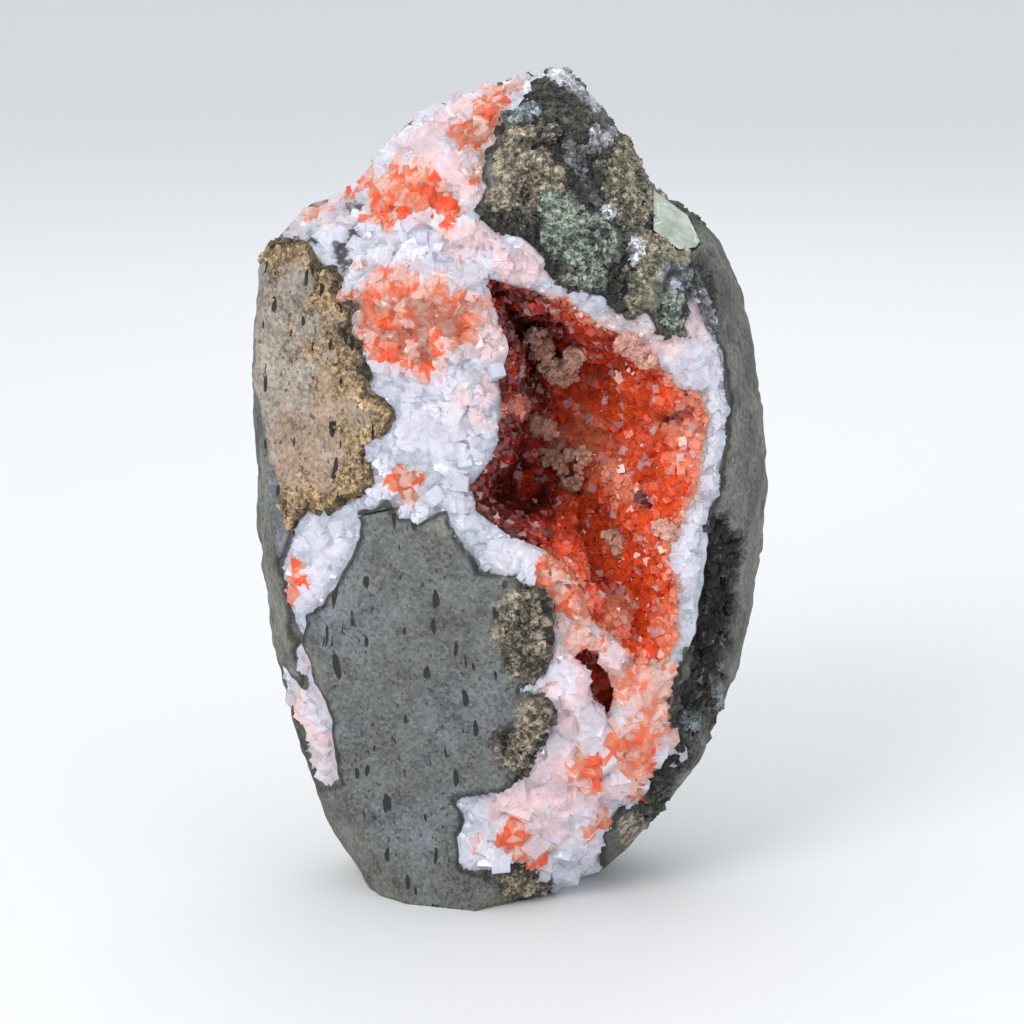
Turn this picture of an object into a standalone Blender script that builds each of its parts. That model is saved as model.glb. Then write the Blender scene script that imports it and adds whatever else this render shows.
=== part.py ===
"""A free-standing geode: basalt host rock, a white zeolite layer and a hollow lined with chabazite.

Run with: blender --background --python part.py

The stone is shaped from outlines of its front, drawn in millimetres across and up from the middle
of the front, as an eye 0.9 m away and 12 degrees above the horizon sees them. Depth is measured
behind the plane that holds the stone's widest outline, so the front skin has negative depths.
"""

import math
import random

import bmesh
import bpy
import numpy as np
from mathutils import Matrix, Vector
from mathutils.bvhtree import BVHTree

MM = 0.001

# How the front is drawn
EYE_DISTANCE = 900.0
LOOK_DOWN = math.radians(12.0)
LEAN = -0.15  # the widest outline leans towards the eye as it goes up
MIDDLE_HEIGHT = 94.6  # the middle of the front, above the sawn base
TO_MIDDLE = (-0.22, -0.72)  # moves the finished stone to the middle of its base

# The stone as a whole, in millimetres
CENTRE = (16.6, 4.7)  # the rings of the skin run round this point of the front
FRONT_BULGE = 48.0
BACK_BULGE = 52.0
FULLNESS = 0.85  # below 1 the bulge is fuller than an ellipse
SKIN_RINGS = 24

# Flat faces ground or broken on the front: middle, depth there, and how the depth changes
# for each millimetre across and up
FACETS = {
    "left plate": ((-45.0, 25.0), -23.0, (-0.75, 0.05)),
    "lower plate": ((-15.0, -45.0), -35.5, (-0.35, -0.25)),
    "upper right plate": ((19.0, 64.0), -35.0, (0.2, 0.5)),
    "upper left face": ((-12.0, 72.0), -28.0, (-0.2, 0.5)),
}

# Rough broken patches: middle, radius and height of the lumps
ROUGH_PATCHES = [
    ((18.0, 66.0), 30.0, 2.2),
    ((5.0, -35.0), 9.0, 1.2),
    ((3.5, -60.0), 9.0, 1.2),
    ((2.0, -93.0), 8.0, 1.0),
]
BACK_LUMPS = 1.6
BACK_SOFTENING = 0.7  # radians to either side that the back's outline is averaged over

# The white layer
WHITE_RECESS = 1.3  # its skin lies this far behind the ground plates
GAP = 0.3  # between solids that touch
LAYER_MIDDLE = (5.0, 5.0)
LAYER_HALF_WIDTH = 88.0
LAYER_HALF_HEIGHT = 114.0
LAYER_DEPTH_MIDDLE = -30.0
LAYER_HALF_DEPTH = 46.0
WHITE_CRYSTALS = 38
WHITE_CRYSTAL_EDGE = (3.6, 8.6)
WHITE_CRYSTAL_ROOT = 2.2
WHITE_CRYSTAL_LIFT = -0.12  # how far a crystal's middle stands above its foot, in edges
WHITE_SEED = 21

# The hollow and its crust
HOLLOW_POLE = (11.5, 9.5)
HOLLOW_POLE_DEPTH = 10.0
HOLLOW_HEART_DEPTH = -22.0  # a point that every part of the wall faces
LIP_DROP = 2.5
HOLLOW_RINGS = 16
HOLLOW_LUMPS = 1.2
CRUST = 2.4
CRUST_CLEARANCE = 0.5  # behind the crust; it narrows where the wall slants
CRUST_CRYSTALS = 44
CRUST_CRYSTAL_EDGE = (3.4, 6.0)
CRUST_CRYSTAL_ROOT = 1.8
CRUST_CRYSTAL_LIFT = 0.06
CRUST_SEED = 8
POCKET_DEPTH = 9.0

# Every crystal
CRYSTAL_LEAN = 0.45  # radians from square to the wall, at most
CRYSTAL_SQUEEZE = 0.94  # a rhomb is a cube pressed along the line through two corners
APART = 0.88  # of the two edges together, so that no two crystals cross

# The small pale green crystal, the broken trough on the right and the gas bubbles
GREEN_FACE = ((39.0, 63.0), -18.0, (1.15, 1.8))
GREEN_ROOT_DEPTH = -4.0
TROUGH_DEPTH = 4.0
BUBBLE_LENGTH = (2.6, 4.4)
BUBBLE_SHAPE = (0.32, 0.5, 0.5)  # width, depth and height, in lengths
BUBBLE_SEED = 9
BLOCK_SHAPE = (1.25, 0.62)  # width and depth of a broken lump of rock, in edges
BLOCK_HEIGHT = (0.8, 1.2)
BLOCK_TIP = 1.2  # radians, at most
BLOCK_SEED = 14

NEAR = -95.0  # in front of everything

# Outlines, clockwise as seen from the front
OUTLINE = [
    (9, 100.5), (11.5, 100.5), (16.5, 96), (21.5, 90), (28, 81), (33, 72.5), (40.5, 67), (48, 61),
    (53, 51.5), (57, 36.5), (59.5, 19), (60.5, 2.5), (59.5, -12), (57, -29.5), (53.5, -43.5),
    (49.5, -52.5), (44, -65), (35, -76.5), (24.5, -87.5), (9.5, -97), (-2.5, -104.5),
    (-17.5, -116.5), (-27.5, -104), (-37.5, -87.5), (-44.5, -75), (-50.5, -57.5), (-55.5, -36.5),
    (-58, -20.5), (-60, -2.5), (-60.5, 21), (-60.5, 40.5), (-59, 53.5), (-54, 61.5), (-48, 68),
    (-40, 69.5), (-36, 73), (-29, 83.5), (-20, 91), (-9, 93.5), (3.5, 98.5),
]
WINDOW = [
    (-58.5, 59), (-53.5, 66), (-47, 71), (-39, 73), (-32.5, 83), (-21.5, 92.5), (-2.5, 99.5),
    (9, 104), (5.5, 96), (4, 92.5), (-1.5, 89.5), (-5.5, 79.5), (-6.5, 70), (-8.5, 66), (-4, 62),
    (0, 60.5), (7, 55.5), (11, 49.5), (19, 45.5), (29, 40), (32, 41.5), (35.5, 36), (43, 36),
    (41.5, 46.5), (36.5, 47.5), (38.5, 52), (42.5, 49.5), (49, 35.5), (51.5, 25.5), (52, 13),
    (50, 2.5), (48, -4), (46.5, -11.5), (44, -30.5), (39.5, -45), (37.5, -52), (39, -61.5),
    (33.5, -66.5), (32, -74.5), (25, -77), (22, -82.5), (22.5, -90), (25.5, -97), (11, -100.5),
    (10, -93.5), (0.5, -88), (-5.5, -91), (-11.5, -89.5), (-12.5, -85), (-10.5, -78.5),
    (-13.5, -73), (-2.5, -72), (3, -67.5), (6, -61), (11.5, -52.5), (8.5, -48), (2, -47.5),
    (7, -43), (10.5, -31), (6.5, -23), (1, -20), (-8, -20), (-11, -13), (-15, -5), (-21.5, -8),
    (-26, -7), (-29.5, -2), (-35.5, -5.5), (-35, -12), (-41, -22), (-44, -27.5), (-48.5, -29.5),
    (-49, -38.5), (-44.5, -49.5), (-42, -58), (-41, -69.5), (-44.5, -71), (-47.5, -63.5),
    (-50.5, -52), (-56.5, -47.5), (-57, -40.5), (-53.5, -42), (-49, -49.5), (-52, -27.5),
    (-54, -16.5), (-52, -11), (-49, -5), (-42, -3.5), (-32.5, 1.5), (-34, 10.5), (-26.5, 17),
    (-27.5, 21), (-33.5, 23), (-35.5, 33), (-39, 38), (-36.5, 43), (-41, 45.5), (-41.5, 53),
    (-45.5, 53.5), (-48.5, 59.5), (-52.5, 59.5),
]
MOUTH = [
    (-6, 50.5), (4.5, 47), (13, 44.5), (19, 40), (28, 36), (31.5, 33), (35.5, 29.5), (40, 24),
    (45, 23), (47, 18), (45.5, 9.5), (44.5, 0), (41.5, -5), (37.5, -14.5), (39.5, -23.5),
    (39.5, -35.5), (36.5, -41), (29.5, -41), (24, -34), (19, -31), (18, -26), (16, -20), (8, -14),
    (0, -11), (-8, -5), (-9, 1), (-3.5, 8.5), (-1.5, 18), (-2.5, 26), (0, 34), (-3.5, 43),
]
SMALL_POCKET = [
    (15.5, -38.5), (19, -37.5), (22, -41.5), (25.5, -49), (22, -55), (20, -49.5), (17.5, -44.5),
]
GREEN = [(34, 71), (42, 65), (45, 59), (44, 57.5), (40, 57), (34, 61.5)]
TROUGH = [
    (47.5, -12), (49.5, -9), (52.5, -13), (51.5, -26), (49, -40), (45.5, -51), (42.5, -53.5),
    (41.5, -49.5), (44.5, -38), (46, -26),
]
BROKEN_BLOCKS = [
    (8, 90, 7), (14, 84, 8), (4, 80, 9), (13, 74, 10), (0, 70, 8), (24, 80, 6), (22, 68, 9),
    (9, 64, 9), (30, 68, 6), (30, 60, 8), (18, 56, 9), (27, 50, 8), (36, 54, 6), (36, 42, 7),
    (2, -34, 8), (7, -30, 6), (3, -60, 9), (7, -56, 6), (3, -93, 7),
]
LEFT_PLATE_BUBBLES = [(-57, 44), (-53, 28), (-49, 36), (-46, 14), (-52, 8), (-43, 27), (-42, 6)]
LOWER_PLATE_BUBBLES = [
    (-33, -31), (-24, -38), (-14, -30), (-20, -60), (-30, -66), (-8, -56), (-22, -84),
]


def seen(across, up, depth):
    """Points that the eye sees at (across, up), at a depth behind the outline's plane, in metres."""
    behind = depth + LEAN * up
    nearness = 1.0 + behind / EYE_DISTANCE
    side = across * nearness
    rise = up * nearness
    back = rise * math.sin(LOOK_DOWN) + behind * math.cos(LOOK_DOWN)
    height = rise * math.cos(LOOK_DOWN) - behind * math.sin(LOOK_DOWN) + MIDDLE_HEIGHT
    return np.stack([side + TO_MIDDLE[0], back + TO_MIDDLE[1], height], axis=-1) * MM


def reach(outline, angle):
    """How far an outline lies from CENTRE in each direction, straight between its points."""
    points = np.array(outline, float) - CENTRE
    turn = np.arctan2(points[:, 1], points[:, 0])
    radius = np.hypot(points[:, 0], points[:, 1])
    order = np.argsort(turn)
    turn = np.concatenate([turn[order][-1:] - math.tau, turn[order], turn[order][:1] + math.tau])
    radius = np.concatenate([radius[order][-1:], radius[order], radius[order][:1]])
    after = np.clip(np.searchsorted(turn, angle, side="right"), 1, len(turn) - 1)
    first, second = turn[after - 1], turn[after]
    near, far = radius[after - 1], radius[after]
    chord = near * np.sin(angle - first) + far * np.sin(second - angle)
    return near * far * np.sin(second - first) / np.maximum(chord, 1e-6)


def lumps(across, up, depth, size, seed):
    """Smooth noise from -1 to 1: a random value at each corner of a cubic lattice, blended between."""
    place = np.stack(np.broadcast_arrays(across, up, depth), axis=-1) / size
    cell = np.floor(place).astype(np.int64)
    part = place - cell
    part = part * part * (3.0 - 2.0 * part)
    total = 0.0
    for corner in np.ndindex(2, 2, 2):
        key = (cell + corner) @ np.array([73856093, 19349663, 83492791]) + seed * 668265263
        key = (((key ^ (key >> 13)) & 0xFFFFFFFF) * 1274126177) & 0xFFFFFFFF
        value = ((key ^ (key >> 16)) & 0xFFFF) / 32767.5 - 1.0
        total = total + value * np.prod(np.where(corner, part, 1.0 - part), axis=-1)
    return total


def plane(facet, across, up):
    """Depth of a flat face: its level in the middle plus its slopes."""
    (middle_x, middle_y), level, (slope_x, slope_y) = facet
    return level + slope_x * (across - middle_x) + slope_y * (up - middle_y)


def front_depth(across, up, rough=True):
    """Depth of the front skin: a bulge from the outline, cut back by the flat facets, with lumps."""
    offset_x, offset_y = across - CENTRE[0], up - CENTRE[1]
    angle = np.arctan2(offset_y, offset_x)
    share = np.clip(np.hypot(offset_x, offset_y) / reach(OUTLINE, angle), 0.0, 1.0)
    rise = np.sqrt(1.0 - share**2)
    depth = -FRONT_BULGE * rise**FULLNESS
    for facet in FACETS.values():
        depth = np.maximum(depth, np.minimum(plane(facet, across, up), 0.0))
    if rough:
        for (patch_x, patch_y), radius, height in ROUGH_PATCHES:
            near = np.clip(1.6 - np.hypot(across - patch_x, up - patch_y) / radius, 0.0, 1.0)
            knobs = 0.65 * lumps(across, up, 0.0, 13.0, 3) + 0.45 * lumps(across, up, 0.0, 6.5, 4)
            depth = depth + np.minimum(rise * 2.5, 1.0) * near * height * knobs
    return depth


def skin_place(across, up):
    """The place on the front skin, without its lumps, at (across, up)."""
    return Vector(seen(across, up, front_depth(np.array(across), np.array(up), rough=False)))


def back_reach(share, angle):
    """How far the back skin reaches: to the outline at its rim, to a rounder one further back."""
    turns = np.linspace(-BACK_SOFTENING, BACK_SOFTENING, 7)
    near_by = [reach(OUTLINE, (angle + turn + math.pi) % math.tau - math.pi) for turn in turns]
    soft = np.mean(near_by, axis=0)
    return soft + (reach(OUTLINE, angle) - soft) * share**4


def back_depth(share, angle):
    """Depth of the back skin: a deeper bulge with broad lumps."""
    rise = np.sqrt(np.clip(1.0 - share**2, 0.0, 1.0))
    broad = lumps(share * np.cos(angle), share * np.sin(angle), 0.0, 0.45, 7)
    return BACK_BULGE * rise**0.8 + BACK_LUMPS * broad * rise


def ball(outline, rings):
    """A unit ball with its pole to the eye and a column of points through each point of an outline.

    Returns the mesh and, for each of its points, the angle, the share of the way out from the
    middle, and the side, positive towards the eye.
    """
    corners = np.array(outline, float) - CENTRE
    angles = np.sort(np.arctan2(corners[:, 1], corners[:, 0]))
    mesh = bmesh.new()
    bmesh.ops.create_uvsphere(mesh, u_segments=len(angles), v_segments=rings, radius=1.0)
    points = np.array([vertex.co for vertex in mesh.verts])
    turn = np.arctan2(points[:, 1], points[:, 0]) % math.tau
    spacing = math.tau / len(angles)
    column_number = np.floor(turn / spacing + 0.25).astype(int) % len(angles)
    share = np.clip(np.hypot(points[:, 0], points[:, 1]), 0.0, 1.0)
    return mesh, angles[column_number], share, points[:, 2]


def settle(mesh, places):
    """Moves each point of a mesh to its place."""
    for vertex, place in zip(mesh.verts, places):
        vertex.co = place


def finish(name, mesh, collection):
    """Makes a named object of a closed bmesh, with its faces outwards."""
    bmesh.ops.recalc_face_normals(mesh, faces=mesh.faces)
    if mesh.calc_volume(signed=True) < 0.0:
        bmesh.ops.reverse_faces(mesh, faces=mesh.faces)
    data = bpy.data.meshes.new(name)
    mesh.to_mesh(data)
    mesh.free()
    piece = bpy.data.objects.new(name, data)
    collection.objects.link(piece)
    return piece


def nodule(recess):
    """The whole stone as a closed skin, set back from the ground faces by a recess."""
    mesh, angle, share, side = ball(OUTLINE, SKIN_RINGS)
    outer = np.where(side >= 0.0, reach(OUTLINE, angle), back_reach(share, angle))
    radius = share * (outer - 0.5 * recess)
    across = CENTRE[0] + radius * np.cos(angle)
    up = CENTRE[1] + radius * np.sin(angle)
    front = front_depth(across, up, rough=recess == 0) + recess
    depth = np.where(side >= 0.0, front, back_depth(share, angle))
    depth = np.where(share > 0.999, 0.0, depth)
    settle(mesh, seen(across, up, depth))
    return mesh


def flat_base(mesh):
    """Saws a closed mesh off level with the ground and closes the cut."""
    geometry = mesh.verts[:] + mesh.edges[:] + mesh.faces[:]
    cut = bmesh.ops.bisect_plane(
        mesh, geom=geometry, plane_co=(0, 0, 0), plane_no=(0, 0, -1), clear_outer=True
    )
    rim = [item for item in cut["geom_cut"] if isinstance(item, bmesh.types.BMEdge)]
    bmesh.ops.edgeloop_fill(mesh, edges=rim)


def inset(outline, gap):
    """An outline moved inwards by a gap; a negative gap moves it outwards."""
    points = np.array(outline, float)
    before = points - np.roll(points, 1, axis=0)
    after = np.roll(points, -1, axis=0) - points
    before /= np.linalg.norm(before, axis=1)[:, None]
    after /= np.linalg.norm(after, axis=1)[:, None]
    # The outlines run clockwise, so inwards is to the right of the way along them.
    inwards = np.stack([before[:, 1] + after[:, 1], -before[:, 0] - after[:, 0]], axis=1)
    corner = 1.0 + np.sum(before * after, axis=1)
    return points + gap * inwards / np.maximum(corner, 0.5)[:, None]


def column(outline, near, far):
    """A straight-sided column along the line of sight, between two depths given for each point."""
    points = np.array(outline, float)
    mesh = bmesh.new()
    rim = [mesh.verts.new((x, y, 0.0)) for x, y in points]
    face = mesh.faces.new(rim)
    grown = bmesh.ops.extrude_face_region(mesh, geom=[face])
    top = {item for item in grown["geom"] if isinstance(item, bmesh.types.BMVert)}
    far = np.broadcast_to(far, len(points))
    near = np.broadcast_to(near, len(points))
    for vertex in mesh.verts:
        i = int(np.argmin(np.hypot(points[:, 0] - vertex.co.x, points[:, 1] - vertex.co.y)))
        depth = near[i] if vertex in top else far[i]
        vertex.co = seen(points[i, 0], points[i, 1], depth)
    bmesh.ops.triangulate(mesh, faces=mesh.faces)
    return mesh


def layer_blank(gap):
    """The rounded block that the white layer fills, shrunk by a gap."""
    mesh, angle, share, side = ball(MOUTH, 8)
    across = LAYER_MIDDLE[0] + (LAYER_HALF_WIDTH - gap) * share * np.cos(angle)
    up = LAYER_MIDDLE[1] + (LAYER_HALF_HEIGHT - gap) * share * np.sin(angle)
    swell = np.sqrt(np.clip(1.0 - share**3, 0.0, 1.0))
    behind = LAYER_DEPTH_MIDDLE + (LAYER_HALF_DEPTH - gap) * swell
    depth = np.where(side > 0, LAYER_DEPTH_MIDDLE + (NEAR - LAYER_DEPTH_MIDDLE) * swell, behind)
    settle(mesh, seen(across, up, depth))
    return mesh


def mouth_point(along, gap):
    """The point at a place along the mouth's outline, counted in its corners, moved in by a gap."""
    corners = inset(MOUTH, gap)
    corner = np.floor(along).astype(int)
    part = (along - corner)[..., None]
    point = corners[corner % len(corners)] * (1.0 - part) + corners[(corner + 1) % len(corners)] * part
    return point[..., 0], point[..., 1]


def steepness(across, up):
    """How steep the hollow's wall is: sheer on the left and top, sloping on the right and below."""
    angle = np.arctan2(up - CENTRE[1], across - CENTRE[0])
    return np.clip(0.5 - 0.45 * np.cos(angle) + 0.15 * np.sin(angle), 0.0, 1.0)


def hollow_point(along, inward, gap=0.0):
    """Place on the hollow's wall, or a gap in from it: inward is 0 at the lip and 1 at the deepest."""
    rim_x, rim_y = mouth_point(along, 0.0)
    lip_x, lip_y = mouth_point(along, gap)
    lip_depth = front_depth(rim_x, rim_y, rough=False) + LIP_DROP
    steep = steepness(rim_x, rim_y)
    sideways = inward ** (1.0 + 1.8 * steep)
    deeper = 1.0 - (1.0 - inward) ** (1.25 + 1.6 * steep)
    wall_x = rim_x + (HOLLOW_POLE[0] - rim_x) * sideways
    wall_y = rim_y + (HOLLOW_POLE[1] - rim_y) * sideways
    wall_depth = lip_depth + (HOLLOW_POLE_DEPTH - lip_depth) * deeper
    knobs = lumps(wall_x, wall_y, wall_depth, 14.0, 11)
    knobs = knobs + 0.5 * lumps(wall_x, wall_y, wall_depth, 7.0, 12)
    across = lip_x + (HOLLOW_POLE[0] - lip_x) * sideways
    up = lip_y + (HOLLOW_POLE[1] - lip_y) * sideways
    depth = wall_depth - gap * (0.4 + deeper)
    return across, up, depth - HOLLOW_LUMPS * knobs * np.minimum(inward * 5.0, 1.0)


def hollow_ball():
    """A ball with a column through each corner of the mouth; the way in grows from rim to pole."""
    mesh, angle, share, side = ball(MOUTH, HOLLOW_RINGS)
    corners = np.array(MOUTH, float) - CENTRE
    turns = np.arctan2(corners[:, 1], corners[:, 0])
    along = np.argmin(np.abs(angle[:, None] - turns), axis=1).astype(float)
    inward = np.clip(1.0 - np.arcsin(share) / (math.pi / 2), 0.0, 1.0)
    return mesh, along, inward, side


def hollow_void():
    """The hollow as a closed block that runs out of the front."""
    mesh, along, inward, side = hollow_ball()
    across, up, depth = hollow_point(along, np.where(side < 0, inward, 0.0))
    # The front half becomes a straight shaft and a flat end beyond the skin.
    out = np.clip(inward * 3.0, 0.0, 1.0)
    shrink = np.clip(1.5 - inward * 1.5, 0.0, 1.0)
    ahead = side > 1e-6
    across = np.where(ahead, CENTRE[0] + (across - CENTRE[0]) * shrink, across)
    up = np.where(ahead, CENTRE[1] + (up - CENTRE[1]) * shrink, up)
    depth = np.where(ahead, depth + (NEAR - depth) * out, depth)
    settle(mesh, seen(across, up, depth))
    return mesh


def crust_cup():
    """The crust as a closed cup: the ball's back half lies near the hollow's wall, its front half
    is pressed in until it lies a crust's thickness in front of that."""
    mesh, along, inward, side = hollow_ball()
    behind = seen(*hollow_point(along, inward, CRUST_CLEARANCE))
    before = seen(*hollow_point(along, inward, CRUST_CLEARANCE + CRUST))
    settle(mesh, np.where(side[:, None] > 1e-6, before, behind))
    return mesh


def rhomb(edge, root, lift, rng):
    """One chabazite rhomb, a slightly squeezed cube with a corner up and its foot cut flat."""
    mesh = bmesh.new()
    bmesh.ops.create_cube(mesh, size=edge)
    corner_up = Vector((1, 1, 1)).rotation_difference(Vector((0, 0, 1))).to_matrix()
    lean_x = Matrix.Rotation(rng.uniform(-CRYSTAL_LEAN, CRYSTAL_LEAN), 3, "X")
    lean_y = Matrix.Rotation(rng.uniform(-CRYSTAL_LEAN, CRYSTAL_LEAN), 3, "Y")
    spin = Matrix.Rotation(rng.uniform(0.0, math.tau), 3, "Z")
    for vertex in mesh.verts:
        place = corner_up @ vertex.co
        place.z *= CRYSTAL_SQUEEZE
        place = spin @ lean_x @ lean_y @ place
        place.z = max(place.z + lift * edge, -root)
        vertex.co = place
    bmesh.ops.remove_doubles(mesh, verts=mesh.verts, dist=edge * 0.02)
    return mesh


def plant(crystals, place, out, edge, root, lift, rng, wall=None):
    """Adds a rhomb to a mesh of crystals, pointing out of a place, if it is clear of a wall."""
    one = rhomb(edge * MM, root * MM, lift, rng)
    turn = Vector((0, 0, 1)).rotation_difference(Vector(out)).to_matrix().to_4x4()
    one.transform(Matrix.Translation(place) @ turn)
    for vertex in one.verts if wall else ():
        nearest, normal, _, distance = wall.find_nearest(vertex.co)
        if (vertex.co - nearest).dot(normal) > 0.0 or distance < 1.5 * GAP * MM:
            one.free()
            return False
    data = bpy.data.meshes.new("one_rhomb")
    one.to_mesh(data)
    one.free()
    crystals.from_mesh(data)
    bpy.data.meshes.remove(data)
    return True


def distance_inside(outline, x, y):
    """Distance from a point to an outline, positive inside it."""
    points = np.array(outline, float)
    ends = np.roll(points, -1, axis=0)
    run = ends - points
    from_start = np.array([x, y]) - points
    along = np.clip(np.sum(from_start * run, axis=1) / np.sum(run * run, axis=1), 0.0, 1.0)
    nearest = np.min(np.linalg.norm(from_start - along[:, None] * run, axis=1))
    crosses = (points[:, 1] > y) != (ends[:, 1] > y)
    height = np.where(run[:, 1] == 0.0, 1e-9, run[:, 1])
    hits = points[:, 0] + (y - points[:, 1]) * run[:, 0] / height > x
    return nearest if np.sum(crosses & hits) % 2 else -nearest


def surface_frame(place_of, a, b, step):
    """A place on a surface of two parameters, and the direction square to it towards the eye."""
    here, there, beyond = place_of(a, b), place_of(a + step[0], b), place_of(a, b + step[1])
    out = Vector(there - here).cross(Vector(beyond - here)).normalized()
    if out.y > 0.0:
        out.negate()
    return Vector(here), out


def white_crystals():
    """Blocky crystals that stand out of the white layer, clear of the rock and the hollow."""
    rng = random.Random(WHITE_SEED)
    crystals = bmesh.new()

    def place_of(a, b):
        return seen(a, b, front_depth(np.array(a), np.array(b), rough=False) + WHITE_RECESS)

    taken = []
    while len(taken) < WHITE_CRYSTALS:
        edge = rng.uniform(*WHITE_CRYSTAL_EDGE)
        x, y = rng.uniform(-55.0, 50.0), rng.uniform(-93.0, 95.0)
        inside = distance_inside(WINDOW, x, y)
        outside = -max(distance_inside(MOUTH, x, y), distance_inside(SMALL_POCKET, x, y))
        in_outline = distance_inside(OUTLINE, x, y)
        if min(inside, outside, in_outline) < 0.85 * edge + 1.0 or y < -86.0:
            continue
        if any(math.hypot(x - u, y - v) < APART * (edge + other) for u, v, other in taken):
            continue
        taken.append((x, y, edge))
        place, out = surface_frame(place_of, x, y, (0.5, 0.5))
        plant(crystals, place, out, edge, WHITE_CRYSTAL_ROOT, WHITE_CRYSTAL_LIFT, rng)
    return crystals


def crust_crystals():
    """Rhombs that stand in from the hollow's crust."""
    rng = random.Random(CRUST_SEED)
    crystals = bmesh.new()

    def place_of(a, b):
        return seen(*hollow_point(np.array(a), np.array(b), CRUST_CLEARANCE + CRUST))

    void = hollow_void()
    bmesh.ops.recalc_face_normals(void, faces=void.faces)
    wall = BVHTree.FromBMesh(void)
    void.free()
    taken = []
    while len(taken) < CRUST_CRYSTALS:
        edge = rng.uniform(*CRUST_CRYSTAL_EDGE)
        along, inward = rng.uniform(0.0, len(MOUTH)), rng.uniform(0.12, 0.93)
        place, out = surface_frame(place_of, along, inward, (0.05, 0.01))
        inwards = Vector(seen(*HOLLOW_POLE, HOLLOW_HEART_DEPTH)) - place
        if out.dot(inwards) < 0.0:
            out.negate()
        if any((place - other).length < APART * MM * (edge + size) for other, size in taken):
            continue
        if plant(crystals, place, out, edge, CRUST_CRYSTAL_ROOT, CRUST_CRYSTAL_LIFT, rng, wall):
            taken.append((place, edge))
    return crystals


def bubbles():
    """Egg-shaped cutters for the largest gas bubbles in the two ground plates."""
    rng = random.Random(BUBBLE_SEED)
    cutters = bmesh.new()
    for x, y in LEFT_PLATE_BUBBLES + LOWER_PLATE_BUBBLES:
        length = rng.uniform(*BUBBLE_LENGTH) * MM
        grown = bmesh.ops.create_icosphere(cutters, subdivisions=1, radius=1.0)["verts"]
        shape = Matrix.Diagonal((*BUBBLE_SHAPE, 1.0)) @ Matrix.Scale(length, 4)
        bmesh.ops.transform(cutters, matrix=Matrix.Translation(skin_place(x, y)) @ shape, verts=grown)
    return cutters


def broken_blocks():
    """Angular lumps that stand out of the rough broken faces of the rock."""
    rng = random.Random(BLOCK_SEED)
    blocks = bmesh.new()
    for x, y, edge in BROKEN_BLOCKS:
        grown = bmesh.ops.create_cube(blocks, size=edge * MM)["verts"]
        turn = Matrix.Rotation(rng.uniform(0.0, math.tau), 4, "Y")
        tip = Matrix.Rotation(rng.uniform(0.0, BLOCK_TIP), 4, "X")
        shape = Matrix.Diagonal((*BLOCK_SHAPE, rng.uniform(*BLOCK_HEIGHT), 1.0))
        place = Matrix.Translation(skin_place(x, y))
        bmesh.ops.transform(blocks, matrix=place @ turn @ tip @ shape, verts=grown)
    return blocks


def boolean(piece, operation, other):
    """Adds a Boolean modifier that uses another object."""
    modifier = piece.modifiers.new(operation.lower() + "_" + other.name, "BOOLEAN")
    modifier.operation = operation
    modifier.object = other
    # The EXACT solver leaves open edges here, where dozens of crystals cross each other.
    modifier.solver = "MANIFOLD"


def material(name, colour, roughness, transmission=0.0):
    """A plain Principled material."""
    made = bpy.data.materials.new(name)
    made.use_nodes = True
    shader = made.node_tree.nodes["Principled BSDF"]
    shader.inputs["Base Color"].default_value = (*colour, 1.0)
    shader.inputs["Roughness"].default_value = roughness
    shader.inputs["Metallic"].default_value = 0.0
    shader.inputs["Transmission Weight"].default_value = transmission
    return made


def skin_cut(outline, deep):
    """A column that cuts an outline into the front skin, to the same depth below it all round."""
    points = np.array(outline, float)
    return column(outline, NEAR, front_depth(points[:, 0], points[:, 1], rough=False) + deep)


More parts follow.
